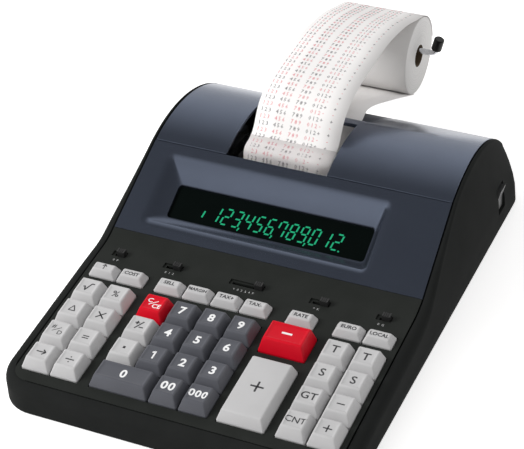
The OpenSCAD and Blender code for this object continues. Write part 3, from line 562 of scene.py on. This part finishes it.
def curved_cover():
    bm = bmesh.new()
    across = (-COVER_EDGE, OUTLET_LEFT, CHUTE_LEFT, INLET_LEFT, SLOTS_RIGHT, CHUTE_RIGHT, COVER_EDGE)
    start = math.radians(COVER_FRONT)
    row = [bm.verts.new((x, CROWN_R * math.cos(start), CROWN_R * math.sin(start))) for x in across]
    last = row + [bm.edges.new(pair) for pair in zip(row, row[1:])]
    at = COVER_FRONT
    for stop, steps in COVER_STEPS:
        last = bmesh.ops.spin(bm, geom=last, cent=(0, 0, 0), axis=(1, 0, 0), angle=math.radians(stop - at),
                              steps=steps)["geom_last"]
        at = stop
    slots = [f for f in bm.faces if over_slot(f.calc_center_median())]
    bmesh.ops.delete(bm, geom=slots, context="FACES")
    for v in bm.verts:
        # Behind the inlet the paper runs in a shallow chute, which opens out to the right.
        angle = crown_angle(v.co)
        past_inlet = INLET_FRONT - angle
        if CHUTE_LEFT + 0.5 < v.co.x < CHUTE_RIGHT - 0.5 and past_inlet > 0:
            going_down = past_inlet / (INLET_FRONT - INLET_BACK)
            sunk = CHUTE_DEPTH * min(going_down, (angle - CHUTE_END) / CHUTE_FADE, 1)
            v.co.y *= 1 - sunk / CROWN_R
            v.co.z *= 1 - sunk / CROWN_R
        if abs(v.co.x - CHUTE_RIGHT) < 0.5:
            v.co.x += CHUTE_FLARE * min(1, max(0, past_inlet / FLARE_TURN))
        if abs(v.co.x) > PANEL_EDGE:
            v.co.x *= cover_half(CROWN_Y + v.co.y) / BEZEL_HALF
    walled(bm, COVER_WALL)
    return rounded(piece("curved_cover", bm, CROWN, cover_slate, stands_for=("printer_cover",)), 0.5, 3, 50)


curved_cover()
softened("tear_bar", "clear_tear_bar", clear_bar, sharp=20)


# The display

WINDOW_AT, WINDOW_SIZE = (-8.6, 29.12, -9.55), (134, 27, 1.5)
WINDOW_TOP = WINDOW_AT[2] + WINDOW_SIZE[2] / 2


def window_plate():
    bm = bmesh.new()
    box(bm, WINDOW_AT, WINDOW_SIZE)
    return rounded(piece("window_plate", bm, BEZEL, window_dark, stands_for=("display_window",)), 0.3, 2)


window_plate()

DIGIT_PITCH, DIGIT_LEFT, DIGIT_LOW = 7.27, -46.7, 21.8
DIGIT_W, DIGIT_H, DIGIT_STROKE, DIGIT_LEAN = 4.25, 10.6, 1.0, 0.16
LIT_FIGURES = "123456789012"
COMMA_AFTER = (2, 5, 8)
# Single strokes, from a digit's lower left corner: start, end and width.
POINT_STROKE = (5.0, -0.4), (6.0, -0.4), 1.0
TAIL_STROKE = (4.9, -2.0), (5.6, -0.6), 0.7
LEAD_STROKE = (-5.4, 1.4), (-4.6, 6.0), 1.0
# The ends of the seven segments, in widths and half heights of a digit.
SEGMENT_ENDS = {"a": ((0, 2), (1, 2)), "b": ((1, 1), (1, 2)), "c": ((1, 0), (1, 1)), "d": ((0, 0), (1, 0)),
                "e": ((0, 0), (0, 1)), "f": ((0, 1), (0, 2)), "g": ((0, 1), (1, 1))}
SEGMENTS = {"0": "abcdef", "1": "bc", "2": "abged", "3": "abgcd", "4": "fgbc", "5": "afgcd", "6": "afgedc",
            "7": "fabc", "8": "abcdefg", "9": "abcdfg"}


def lit_digit(bm, figure, x, y):
    for segment in SEGMENTS[figure]:
        start, end = (Vector((across * DIGIT_W, up * DIGIT_H / 2, 0)) for across, up in SEGMENT_ENDS[segment])
        gap = (end - start).normalized() * DIGIT_STROKE * 0.62
        for v in bar(bm, start + gap, end - gap, DIGIT_STROKE):
            v.co.x += v.co.y * DIGIT_LEAN + x
            v.co.y += y


def lit_number():
    """The figures with their commas, the point after the last one and a stroke before the first."""
    bm = bmesh.new()
    for k, figure in enumerate(LIT_FIGURES):
        x = DIGIT_LEFT + k * DIGIT_PITCH
        lit_digit(bm, figure, x, DIGIT_LOW)
        if k in COMMA_AFTER or k == len(LIT_FIGURES) - 1:
            stroke(bm, x, DIGIT_LOW, *POINT_STROKE)
        if k in COMMA_AFTER:
            stroke(bm, x, DIGIT_LOW, *TAIL_STROKE)
    stroke(bm, DIGIT_LEFT, DIGIT_LOW, *LEAD_STROKE)
    place = BEZEL @ Matrix.Translation((0, 0, WINDOW_TOP))
    return piece("lit_number", bm, place, segment_green, slot="tube_glass")


lit_number()


# Keys

CAP_FOOT, CAP_SKIRT, CAP_ROUND = 0.6, 2.8, 0.95
SIDE_SLOPE, BACK_SLOPE, FRONT_SLOPE, LOW_FRONT_SLOPE = 2.4, 1.68, 3.4, 2.38
# Insets of the hollow's rings, with their shares of its depth.
HOLLOW_RINGS = ((0.5, 0.22), (0.7, 0.3), (0.9, 0.3), (1.0, 0.18))
STEM_R, STEM_FOOT_R, STEM_LOW, STEM_FOOT_TOP = 2.5, 3.3, -8.7, -8.05
# Width, depth, height and hollow of the caps.
PLAIN_CAP, LOW_CAP = (17.5, 18, 7, 0.6), (17.5, 10, 5, 0.25)
WIDE_CAPS = {"key_0": (36, 18, 7, 0.6), "key_minus": (28.5, 20, 9, 0.6), "key_plus": (28.5, 48.5, 7, 0)}


def key_cap(width, depth, height, hollow, front_slope):
    """A tapered cap with a hollowed top, on its stem, and the place of the top's middle."""
    bm = bmesh.new()
    box(bm, (0, 0, (height + CAP_FOOT) / 2), (width, depth, height - CAP_FOOT))
    upper = [v for v in bm.verts if v.co.z > height - 0.01]
    for v in upper:
        v.co.x -= math.copysign(SIDE_SLOPE, v.co.x)
        v.co.y += front_slope if v.co.y < 0 else -BACK_SLOPE
    bevelled(bm, [e for e in bm.edges if any(v in upper for v in e.verts)], CAP_ROUND, 5)
    pulled_down(bm, lowest(bm), CAP_SKIRT)
    top = max((f for f in bm.faces if f.normal.z > 0.95), key=lambda f: f.calc_area())
    spread = min(1, (depth - 5) / 12)
    for inset, share in HOLLOW_RINGS if hollow else ():
        bmesh.ops.inset_individual(bm, faces=[top], thickness=inset * spread, depth=-hollow * share)
    middle = top.calc_center_median()
    for radius, high in ((STEM_R, height * 0.4), (STEM_FOOT_R, STEM_FOOT_TOP)):
        place = Matrix.Translation((0, 0, (STEM_LOW + high) / 2))
        peg(bm, place, radius, radius, high - STEM_LOW, 24)
    return bm, middle


# The strokes of each drawn sign, in half heights of the sign.
SIGNS = {
    "root": (((-0.9, -0.1), (-0.55, 0.05)), ((-0.6, 0.1), (-0.25, -0.9)), ((-0.28, -0.9), (0.45, 0.95)),
             ((0.4, 0.9), (0.95, 0.9))),
    "triangle": (((-0.8, -0.75), (0.8, -0.75)), ((-0.8, -0.75), (0, 0.85)), ((0.8, -0.75), (0, 0.85))),
    "right": (((-0.95, 0), (0.95, 0)), ((0.3, 0.62), (0.95, -0.02)), ((0.3, -0.62), (0.95, 0.02))),
    "up": (((0, -0.95), (0, 0.95)), ((-0.62, 0.3), (0.02, 0.95)), ((0.62, 0.3), (-0.02, 0.95))),
    "times": (((-0.72, -0.72), (0.72, 0.72)), ((-0.72, 0.72), (0.72, -0.72))),
    "equals": (((-0.75, 0.3), (0.75, 0.3)), ((-0.75, -0.3), (0.75, -0.3))),
    "divide": (((-0.85, 0), (0.85, 0)), ((-0.12, 0.62), (0.12, 0.62)), ((-0.12, -0.62), (0.12, -0.62))),
    "point": (((-0.22, 0), (0.22, 0)),),
    "minus": (((-0.75, 0), (0.75, 0)),),
    "one": (((0.12, -0.95), (0.12, 0.95)), ((-0.4, 0.5), (0.1, 0.88))),
    "plus": (((-0.85, 0), (0.85, 0)), ((0, -0.85), (0, 0.85))),
    "sign": (((-0.95, 0.45), (-0.1, 0.45)), ((-0.52, 0.02), (-0.52, 0.88)), ((-0.55, -0.95), (0.55, 0.95)),
             ((0.15, -0.5), (0.95, -0.5))),
}


def draw_sign(bm, sign, at, tall, weight):
    """Draws one of the keyboard's signs with plain strokes."""
    width = tall * weight * (2.0 if sign == "point" else 1.0)
    for start, end in SIGNS[sign]:
        stroke(bm, at.x, at.y, start, end, width, tall / 2)


SMALL_WORDS = 4.5


def write_on(cap, says, at, size, bold):
    """What a cap says, laid on its top. A slash stands for two words with a stroke between them."""
    bm = bmesh.new()
    if says in SIGNS:
        draw_sign(bm, says, at, size, 0.17 if bold else 0.125)
    elif "/" in says:
        over, under = says.split("/")
        weight = 0.02 if bold else 0.008
        lettering(bm, over, size, at.x - 0.62 * size, at.y + 0.42 * size, weight)
        lettering(bm, under, size, at.x + 0.55 * size, at.y - 0.42 * size, weight)
        stroke(bm, at.x, at.y, (-0.62, -0.36), (0.45, 0.5), 0.11 * size, size)
    else:
        weight = 0.03 if bold or size < SMALL_WORDS else 0.012
        lettering(bm, says, size, at.x, at.y, weight, 1.12 if bold else 1.0)
    laid_on(bm, cap)
    return bm


KEY_PITCH = 18.5
COLUMN = [KEY_PITCH * k for k in (-4.74, -3.74, -2.39, -1.39, -0.39, 0.61, 2.16, 3.75, 4.75)]
ROW = (17.2, 36.2, 55.2, 74.2)
FUNCTION_ROW = 95
LIGHT, DARK, RED = (key_light, legend_grey), (key_dark, legend_white), (key_red, legend_white)
# Place of each key, its finish and ink, what it says, and the size of the letters or of the sign.
KEYS = {
    "key_root": (COLUMN[0], ROW[3], LIGHT, "root", 6.6),
    "key_delta": (COLUMN[0], ROW[2], LIGHT, "triangle", 5.2),
    "key_sharp": (COLUMN[0], ROW[1], LIGHT, "#/D", 4.4),
    "key_back": (COLUMN[0], ROW[0], LIGHT, "right", 6.2),
    "key_percent": (COLUMN[1], ROW[3], LIGHT, "%", 6.6),
    "key_times": (COLUMN[1], ROW[2], LIGHT, "times", 6.8),
    "key_equals": (COLUMN[1], ROW[1], LIGHT, "equals", 5.4),
    "key_divide": (COLUMN[1], ROW[0], LIGHT, "divide", 6.4),
    "key_clear": (COLUMN[2], ROW[3], RED, "C/CE", 4.6),
    "key_sign": (COLUMN[2], ROW[2], LIGHT, "sign", 6.6),
    "key_point": (COLUMN[2], ROW[1], LIGHT, "point", 7.0),
    "key_0": ((COLUMN[2] + COLUMN[3]) / 2, ROW[0], DARK, "0", 8.0),
    "key_7": (COLUMN[3], ROW[3], DARK, "7", 8.0),
    "key_4": (COLUMN[3], ROW[2], DARK, "4", 8.0),
    "key_1": (COLUMN[3], ROW[1], DARK, "one", 6.2),
    "key_8": (COLUMN[4], ROW[3], DARK, "8", 8.0),
    "key_5": (COLUMN[4], ROW[2], DARK, "5", 8.0),
    "key_2": (COLUMN[4], ROW[1], DARK, "2", 8.0),
    "key_00": (COLUMN[4], ROW[0], DARK, "00", 7.9),
    "key_9": (COLUMN[5], ROW[3], DARK, "9", 8.0),
    "key_6": (COLUMN[5], ROW[2], DARK, "6", 8.0),
    "key_3": (COLUMN[5], ROW[1], DARK, "3", 8.0),
    "key_000": (COLUMN[5], ROW[0], DARK, "000", 6.9),
    "key_minus": (COLUMN[6], 74.7, RED, "minus", 8.4),
    "key_plus": (COLUMN[6], 32.45, LIGHT, "plus", 9.4),
    "key_total": (COLUMN[7], ROW[3], LIGHT, "T", 8.0),
    "key_subtotal": (COLUMN[7], ROW[2], LIGHT, "S", 8.0),
    "key_grand": (COLUMN[7], ROW[1], LIGHT, "GT", 7.2),
    "key_count": (COLUMN[7], ROW[0], LIGHT, "CNT", 5.9),
    "key_total_2": (COLUMN[8], ROW[3], LIGHT, "T", 8.0),
    "key_subtotal_2": (COLUMN[8], ROW[2], LIGHT, "S", 8.0),
    "key_memory_minus": (COLUMN[8], ROW[1], LIGHT, "minus", 6.2),
    "key_memory_plus": (COLUMN[8], ROW[0], LIGHT, "plus", 6.2),
}
# The low keys' columns, what each one says, and the size of its letters or its sign.
FUNCTION_KEYS = {
    "function_keys_left": ((COLUMN[0], "up", 4.4), (COLUMN[1], "COST", 3.6), (COLUMN[2], "SELL", 3.6),
                           (COLUMN[3], "MARGIN", 3.1), (COLUMN[4], "TAX+", 3.6), (COLUMN[5], "TAX-", 3.6)),
    "function_keys_right": ((COLUMN[6], "RATE", 3.6), (COLUMN[7], "EURO", 3.6), (COLUMN[8], "LOCAL", 3.6)),
}


def main_key(node, x, y, colours, says, size):
    colour, ink = colours
    place = KEYBOARD @ Matrix.Translation((x, y, 0))
    cap, top = key_cap(*WIDE_CAPS.get(node, PLAIN_CAP), FRONT_SLOPE)
    legend = write_on(cap, says, top, size, colour is not key_light)
    piece(node + "_cap", cap, place, colour, node, (node,), sharp=16)
    piece(node + "_legend", legend, place, ink, node, slot=slot_of[node])


def function_keys(node, row):
    caps, legends = bmesh.new(), bmesh.new()
    for x, says, size in row:
        cap, top = key_cap(*LOW_CAP, LOW_FRONT_SLOPE)
        legend = write_on(cap, says, top, size, False)
        for group, made in ((caps, cap), (legends, legend)):
            bmesh.ops.translate(made, verts=made.verts[:], vec=(x, FUNCTION_ROW, 0))
            joined(group, made)
    piece(node + "_caps", caps, KEYBOARD, key_light, node, (node,), sharp=16)
    piece(node + "_legend", legends, KEYBOARD, legend_grey, node, slot="key_light")


for key_node, key in KEYS.items():
    main_key(key_node, *key)
for row_node, row_keys in FUNCTION_KEYS.items():
    function_keys(row_node, row_keys)


# Slide switches and the power rocker

GRIP_FOOT, GRIP_RISE = 1.0, 1.9
MARK_SIZE, MARK_ROW = 2.3, 107.6
MARKS = ((-87.1, "0  P"), (-50.9, "0  1  2"), (-2.4, "+  0  2  3  4  F"), (43.9, "*  K"), (83.8, "0  G"))


def slide_knob(node):
    """The solid's knob, with its ribbed grip standing higher above the plate."""
    made = softened(node, node + "_knob", switch_black, 0.2)
    for v in made.data.vertices:
        at = KEYBOARD.inverted() @ v.co
        if at.z > GRIP_FOOT:
            v.co = KEYBOARD @ (at + Vector((0, 0, GRIP_RISE)))


def slot_marks():
    bm = bmesh.new()
    for x, words in MARKS:
        lettering(bm, words, MARK_SIZE, x, MARK_ROW, 0.005, resolution=2)
    return piece("slot_marks", bm, KEYBOARD, mark_white, slot="panel_charcoal")


for switch in ("switch_round", "switch_print", "switch_point", "switch_total", "switch_rate"):
    slide_knob(switch)
softened("power_rocker", "rocker_cap", rocker_grey, 0.5)
slot_marks()


# Paper

# Points that the tape passes, as heights over the cover's crown and degrees round it from the back.
WEB_IN, INLET_POINTS = (5, 63.4), ((-0.5, 71), (-9.5, 76.5))
RISE_POINTS = ((-3.6, 107.5), (-2.6, 101.2), (0.3, 96.9), (11.8, 90.7), (19, 83.8), (25.2, 75.6))
ARCH_TOP = Vector((0, CROWN_Y + 48, 93.0))
# Points of the arch behind its top, as parts of its run and of its fall.
ARCH_POINTS = ((0.28, -0.06), (0.6, 0.225), (0.85, 0.697))
WEB_SAG, OVER_ROLL = 0.8, 0.4
FIGURE_SIZE, FIGURE_PITCH, LINE_PITCH = 3.7, 2.55, 4.23
# From the tape's left edge to each group of figures.
GROUPS_LEFT = (3.2, 13.4, 24.3, 35.2, 49.5)
# From the platen to the first row, the bare end of the tape, and the height of the ink over its middle.
FIRST_LINE, BARE_END, INK_LIFT = 7.0, 6, 0.08


def turned(y, z, r, start, stop, n):
    """Points on an arc seen from the side, with its ends in degrees."""
    angles = (math.radians(start + (stop - start) * k / n) for k in range(n + 1))
    return [Vector((0, y + r * math.cos(a), z + r * math.sin(a))) for a in angles]


def on_crown(over, angle):
    return turned(CROWN_Y, CROWN_Z, CROWN_R + over, angle, angle, 1)[0]


def smoothed(points, n):
    """A smooth curve through the points, from the second to the last but one."""
    run = []
    for a, b, c, d in zip(points, points[1:], points[2:], points[3:]):
        for t in (k / n for k in range(n)):
            run.append(0.5 * (2 * b + (c - a) * t + (2 * a - 5 * b + 4 * c - d) * t * t
                              + (3 * b - a - 3 * c + d) * t ** 3))
    return run


def paper_path():
    """The tape's side line, and the number of its points up to where it leaves the platen.

    It runs off the roll, through the inlet, round the platen, out of the cover and back over the roll."""
    web_in = on_crown(*WEB_IN)
    run = web_in - Vector((0, ROLL_Y, ROLL_Z))
    leave = math.degrees(math.atan2(run.z, run.y) + math.acos(ROLL_R / run.length))
    off = turned(ROLL_Y, ROLL_Z, ROLL_R, leave + 8, leave, 3)
    platen = turned(PLATEN_Y, PLATEN_Z, PLATEN_R, -59, -190, 20)
    sag = (off[3] + web_in) / 2 + Vector((0, 0, WEB_SAG))
    inlet = [on_crown(*point) for point in INLET_POINTS]
    feed = smoothed([off[1], off[3], sag, web_in, *inlet, platen[0], platen[2]], 10)
    far = turned(ROLL_Y, ROLL_Z, ROLL_R + OVER_ROLL, 72, 0, 24)
    back, fall = far[0].y - ARCH_TOP.y, ARCH_TOP.z - far[0].z
    arch = [Vector((0, ARCH_TOP.y + back * along, ARCH_TOP.z - fall * down)) for along, down in ARCH_POINTS]
    rise = [on_crown(*point) for point in RISE_POINTS]
    over = smoothed([platen[18], platen[20], *rise, ARCH_TOP, *arch, far[0], far[4]], 10)
    hidden = off[:3] + feed + platen[:20]
    return hidden + over + far, len(hidden)


def lengths_along(path):
    steps = [0.0]
    for a, b in zip(path, path[1:]):
        steps.append(steps[-1] + (b - a).length)
    return steps


def tape(path):
    bm = bmesh.new()
    line = [bm.verts.new(p + Vector((PAPER_X - PAPER_W / 2, 0, 0))) for p in path]
    edges = [bm.edges.new(pair) for pair in zip(line, line[1:])]
    for _ in range(4):
        pulled = bmesh.ops.extrude_edge_only(bm, edges=edges)["geom"]
        edges = [g for g in pulled if isinstance(g, bmesh.types.BMEdge)]
        moved = [g for g in pulled if isinstance(g, bmesh.types.BMVert)]
        bmesh.ops.translate(bm, verts=moved, vec=(PAPER_W / 4, 0, 0))
    bmesh.ops.recalc_face_normals(bm, faces=bm.faces[:])
    made = piece("printed_tape", bm, MACHINE, paper_white, stands_for=("paper_tape",), sharp=60)
    thick = made.modifiers.new("thickness", "SOLIDIFY")
    thick.thickness = PAPER_THICK * MILLIMETRE
    thick.offset = 0
    return made


def row_of_figures(signs):
    """One printed row, with the signs that follow its figures."""
    groups = "123", "456", "789", "012" + signs[0], signs[1]
    bm = bmesh.new()
    for left, words in zip(GROUPS_LEFT, groups):
        for k, figure in enumerate(words):
            lettering(bm, figure, FIGURE_SIZE, left + FIGURE_PITCH * k - PAPER_W / 2, resolution=1)
    return as_mesh("row", bm)


def print_rows(name, ink, path, start, first, signs):
    """Rows of figures laid along the tape, every other one of this colour."""
    steps = lengths_along(path)
    row = row_of_figures(signs)
    bm = bmesh.new()
    at = steps[start] + FIRST_LINE + first * LINE_PITCH
    while at < steps[-1] - BARE_END:
        before = len(bm.verts)
        bm.from_mesh(row)
        bm.verts.ensure_lookup_table()
        for p in bm.verts[before:]:
            along = at + p.co.y
            k = max(i for i in range(len(steps) - 1) if steps[i] <= along)
            way = (path[k + 1] - path[k]).normalized()
            out = Vector((0, -way.z, way.y))
            line = path[k] + way * (along - steps[k])
            p.co = line + out * (INK_LIFT + p.co.z * 0.5) + Vector((PAPER_X + p.co.x, 0, 0))
        at += 2 * LINE_PITCH
    bpy.data.meshes.remove(row)
    return piece(name, bm, MACHINE, ink, slot="paper_white")


tape_line, tape_out = paper_path()
sheet = tape(tape_line)
printed = [print_rows("tape_figures_red", ink_red, tape_line, tape_out, 0, "--"),
           print_rows("tape_figures_black", ink_black, tape_line, tape_out, 1, "++")]

# Half a profile of the roll and of its card core: distances in from the end, and radii.
PAPER_PROFILE = ((0, 7.7), (0, 12), (0, 26.0), (0.3, 26.4), (0.8, 26.5))
CORE_PROFILE = ((0.2, 6.25), (-0.1, 6.6), (-0.1, 7.6))


def spun(name, profile, material, **ways):
    """A ring about the roll's axis, the same at both ends of the roll."""
    bm = bmesh.new()
    end = PAPER_W / 2
    right = [(end - into, r) for into, r in profile]
    left = [(-x, r) for x, r in reversed(right)]
    line = [bm.verts.new((x, 0, r)) for x, r in right + left]
    edges = [bm.edges.new(pair) for pair in zip(line, line[1:] + line[:1])]
    bmesh.ops.spin(bm, geom=line + edges, cent=(0, 0, 0), axis=(1, 0, 0), angle=math.tau, steps=96,
                   use_merge=True)
    bmesh.ops.remove_doubles(bm, verts=bm.verts[:], dist=1e-4)
    bmesh.ops.recalc_face_normals(bm, faces=bm.faces[:])
    return piece(name, bm, ROLL, material, "paper_roll", sharp=50, **ways)


spun("wound_paper", PAPER_PROFILE, paper_end, stands_for=("paper_roll",))
spun("card_core", CORE_PROFILE, card_brown, slot="paper_white")


# The roll holder

WIRE_R, WIRE_BEND = 2.0, 3.6
ARM_X, ARM_Z, AXLE_Z = -53.25, 20, 56.65
WIRE_POINTS = ((ARM_X, 298, ARM_Z), (ARM_X, 322, ARM_Z), (ARM_X, ROLL_Y, AXLE_Z), (27.6, ROLL_Y, AXLE_Z),
               (29.6, ROLL_Y, 64))
END_CAP_AT, END_CAP_LEAN, END_CAP_R, END_CAP_LENGTH = (29.6, ROLL_Y, 64.15), 15, 3.5, 9


def bent_rod(name, points, radius, bend, material, **ways):
    """A round wire through the points, with a smooth bend at each one."""
    curve = bpy.data.curves.new(name, "CURVE")
    curve.dimensions = "3D"
    curve.bevel_depth = radius
    curve.bevel_resolution = 6
    curve.use_fill_caps = True
    points = [Vector(point) for point in points]
    run = points[:1]
    for a, b, c in zip(points, points[1:], points[2:]):
        start, end = b + (a - b).normalized() * bend, b + (c - b).normalized() * bend
        run += [(1 - t) ** 2 * start + 2 * t * (1 - t) * b + t * t * end for t in (k / 8 for k in range(9))]
    run.append(points[-1])
    spline = curve.splines.new("POLY")
    spline.points.add(len(run) - 1)
    for point, place in zip(spline.points, run):
        point.co = (*place, 1)
    rod = in_scene(name, curve)
    mesh = shown_mesh(rod)
    bpy.data.objects.remove(rod)
    bm = bmesh.new()
    bm.from_mesh(mesh)
    bpy.data.meshes.remove(mesh)
    return piece(name, bm, MACHINE, material, **ways)


def end_cap():
    bm = bmesh.new()
    place = Matrix.Translation(END_CAP_AT) @ Matrix.Rotation(math.radians(END_CAP_LEAN), 4, "Y")
    peg(bm, place, END_CAP_R, END_CAP_R, END_CAP_LENGTH, 32)
    return rounded(piece("holder_end_cap", bm, MACHINE, cap_black, slot="wire_chrome"), 0.8)


bent_rod("holder_wire", WIRE_POINTS, WIRE_R, WIRE_BEND, wire_chrome, stands_for=("roll_holder",))
end_cap()


# Back of the case, feet and what lies inside

PINS_X, PINS_Y, PINS_Z, PIN_R, PIN_LENGTH = (52, 60), 294.2, 17, 1.2, 9
GROMMET_Y, GROMMET_R, GROMMET_TIP_R, GROMMET_LENGTH = 306.4, 4.6, 3.6, 1.6


def inlet_pins():
    bm = bmesh.new()
    for x in PINS_X:
        place = Matrix.Translation((x, PINS_Y, PINS_Z)) @ Matrix.Rotation(math.pi / 2, 4, "X")
        peg(bm, place, PIN_R, PIN_R, PIN_LENGTH, 16)
    return rounded(piece("inlet_pins", bm, MACHINE, brass_pin, slot="frame_steel"), 0.4, 2)


def wire_grommet():
    bm = bmesh.new()
    place = Matrix.Translation((ARM_X, GROMMET_Y, ARM_Z)) @ Matrix.Rotation(-math.pi / 2, 4, "X")
    peg(bm, place, GROMMET_R, GROMMET_TIP_R, GROMMET_LENGTH, 32)
    return rounded(piece("wire_grommet", bm, MACHINE, cap_black, slot="case_black"), 0.4, 2)


inlet_pins()
wire_grommet()
softened("feet", "rubber_feet", foot_rubber, 0.6)

INSIDE = {
    "display_tube": tube_glass, "main_board": board_green, "printer_frame": frame_black,
    "print_motor": frame_steel, "platen_roller": roller_rubber, "print_drum": drum_grey,
    "ink_roller": ink_felt, "transformer": core_iron, "case_screws": frame_steel,
}
for inner_node, inner_finish in INSIDE.items():
    nodes[inner_node].data.materials.clear()
    nodes[inner_node].data.materials.append(inner_finish)


# Floor, light and camera, in metres

FLOOR_HALF, FLOOR_LIFT = 6, 0.55
ROOM_LIGHT = 0.6
PANEL_WAY, PANEL_LIGHT = (-0.55, -0.60, 0.58), 0.9
# Name, place, aim, size and watts of each lamp, and whether reflections show it.
LAMPS = (("key_lamp", (-1.16, -0.7, 1.05), (0, -0.02, 0.03), 0.7, 20.5, False),
         ("side_lamp", (1.2, 1.0, 0.4), (0.0, 0.15, 0.06), 0.5, 2.2, True))
CAMERA_AT, CAMERA_LENS, CAMERA_SENSOR = (0.37074, -0.82189, 0.68297), 123.66, 36
CAMERA_RIGHT, CAMERA_UP = (0.91254, 0.40672, -0.04305), (-0.20888, 0.55396, 0.80591)
CAMERA_BACK = (0.35163, -0.72643, 0.59047)


def either(tree, first, second):
    """One where either kind of ray is seen."""
    made = tree.nodes.new("ShaderNodeMath")
    made.operation = "ADD"
    made.use_clamp = True
    tree.links.new(first, made.inputs[0])
    tree.links.new(second, made.inputs[1])
    return made.outputs["Value"]


def ranged(tree, value, **ends):
    """A value mapped from one range to another."""
    made = tree.nodes.new("ShaderNodeMapRange")
    for socket, end in ends.items():
        made.inputs[socket.replace("_", " ")].default_value = end
    tree.links.new(value, made.inputs["Value"])
    return made


def floor():
    """A white floor that camera, glossy and transmission rays see lifted towards white."""
    bm = bmesh.new()
    bmesh.ops.create_grid(bm, x_segments=1, y_segments=1, size=FLOOR_HALF)
    mesh = as_mesh("floor", bm)
    white = finish("floor_white", (0.93, 0.92, 0.915), (0.92, 0.91, 0.905), 0.9, patch=2, bump=0.0,
                   Specular_IOR_Level=0.0, Emission_Color=(1, 1, 1, 1))
    mesh.materials.append(white)
    in_scene("floor", mesh)
    tree = white.node_tree
    rays = tree.nodes.new("ShaderNodeLightPath").outputs
    direct = either(tree, rays["Is Camera Ray"], rays["Is Glossy Ray"])
    seen = either(tree, direct, rays["Is Transmission Ray"])
    lift = tree.nodes.new("ShaderNodeMath")
    lift.operation = "MULTIPLY"
    lift.inputs[1].default_value = FLOOR_LIFT
    tree.links.new(seen, lift.inputs[0])
    tree.links.new(lift.outputs["Value"], tree.nodes["Principled BSDF"].inputs["Emission Strength"])


def room():
    """Even light, and a white background for the camera and through clear parts.

    Reflections see that white behind the machine, a soft panel at the front left and a dim room elsewhere."""
    world = bpy.data.worlds.new("studio")
    bpy.context.scene.world = world
    world.use_nodes = True
    tree = world.node_tree
    add, link = tree.nodes.new, tree.links.new
    background = tree.nodes["Background"].inputs
    background["Color"].default_value = (1, 1, 1, 1)
    rays = add("ShaderNodeLightPath").outputs
    direction = add("ShaderNodeTexCoord").outputs["Generated"]
    parts = add("ShaderNodeSeparateXYZ")
    link(direction, parts.inputs["Vector"])
    behind = ranged(tree, parts.outputs["Y"], From_Min=0.25, From_Max=0.8, To_Min=0.1, To_Max=1.0)
    towards = add("ShaderNodeVectorMath")
    towards.operation = "DOT_PRODUCT"
    towards.inputs[1].default_value = PANEL_WAY
    link(direction, towards.inputs[0])
    panel = ranged(tree, towards.outputs["Value"], From_Min=0.8, From_Max=1.0, To_Min=0.0, To_Max=PANEL_LIGHT)
    panel.interpolation_type = "SMOOTHSTEP"
    bright = add("ShaderNodeMath")
    link(behind.outputs["Result"], bright.inputs[0])
    link(panel.outputs["Result"], bright.inputs[1])
    reflected, level = add("ShaderNodeMix"), add("ShaderNodeMix")
    reflected.inputs["A"].default_value = ROOM_LIGHT
    link(rays["Is Glossy Ray"], reflected.inputs["Factor"])
    link(bright.outputs["Value"], reflected.inputs["B"])
    level.inputs["B"].default_value = 1.0
    link(either(tree, rays["Is Camera Ray"], rays["Is Transmission Ray"]), level.inputs["Factor"])
    link(reflected.outputs["Result"], level.inputs["A"])
    link(level.outputs["Result"], background["Strength"])


def lamps():
    for name, at, aim, size, watts, mirrored in LAMPS:
        lamp = bpy.data.lights.new(name, "AREA")
        lamp.size = size
        lamp.energy = watts
        lit = in_scene(name, lamp)
        lit.location = at
        lit.visible_glossy = mirrored
        lit.rotation_euler = (Vector(aim) - Vector(at)).to_track_quat("-Z", "Y").to_euler()


def photo_view():
    view = bpy.data.cameras.new("photo_view")
    view.sensor_width = CAMERA_SENSOR
    view.lens = CAMERA_LENS
    view.clip_end = 50
    camera = in_scene("photo_view", view)
    turn = Matrix((CAMERA_RIGHT, CAMERA_UP, CAMERA_BACK)).transposed()
    camera.matrix_world = Matrix.Translation(CAMERA_AT) @ turn.to_4x4()
    bpy.context.scene.camera = camera
    bpy.context.scene.view_settings.view_transform = "Standard"


floor()
room()
lamps()
photo_view()
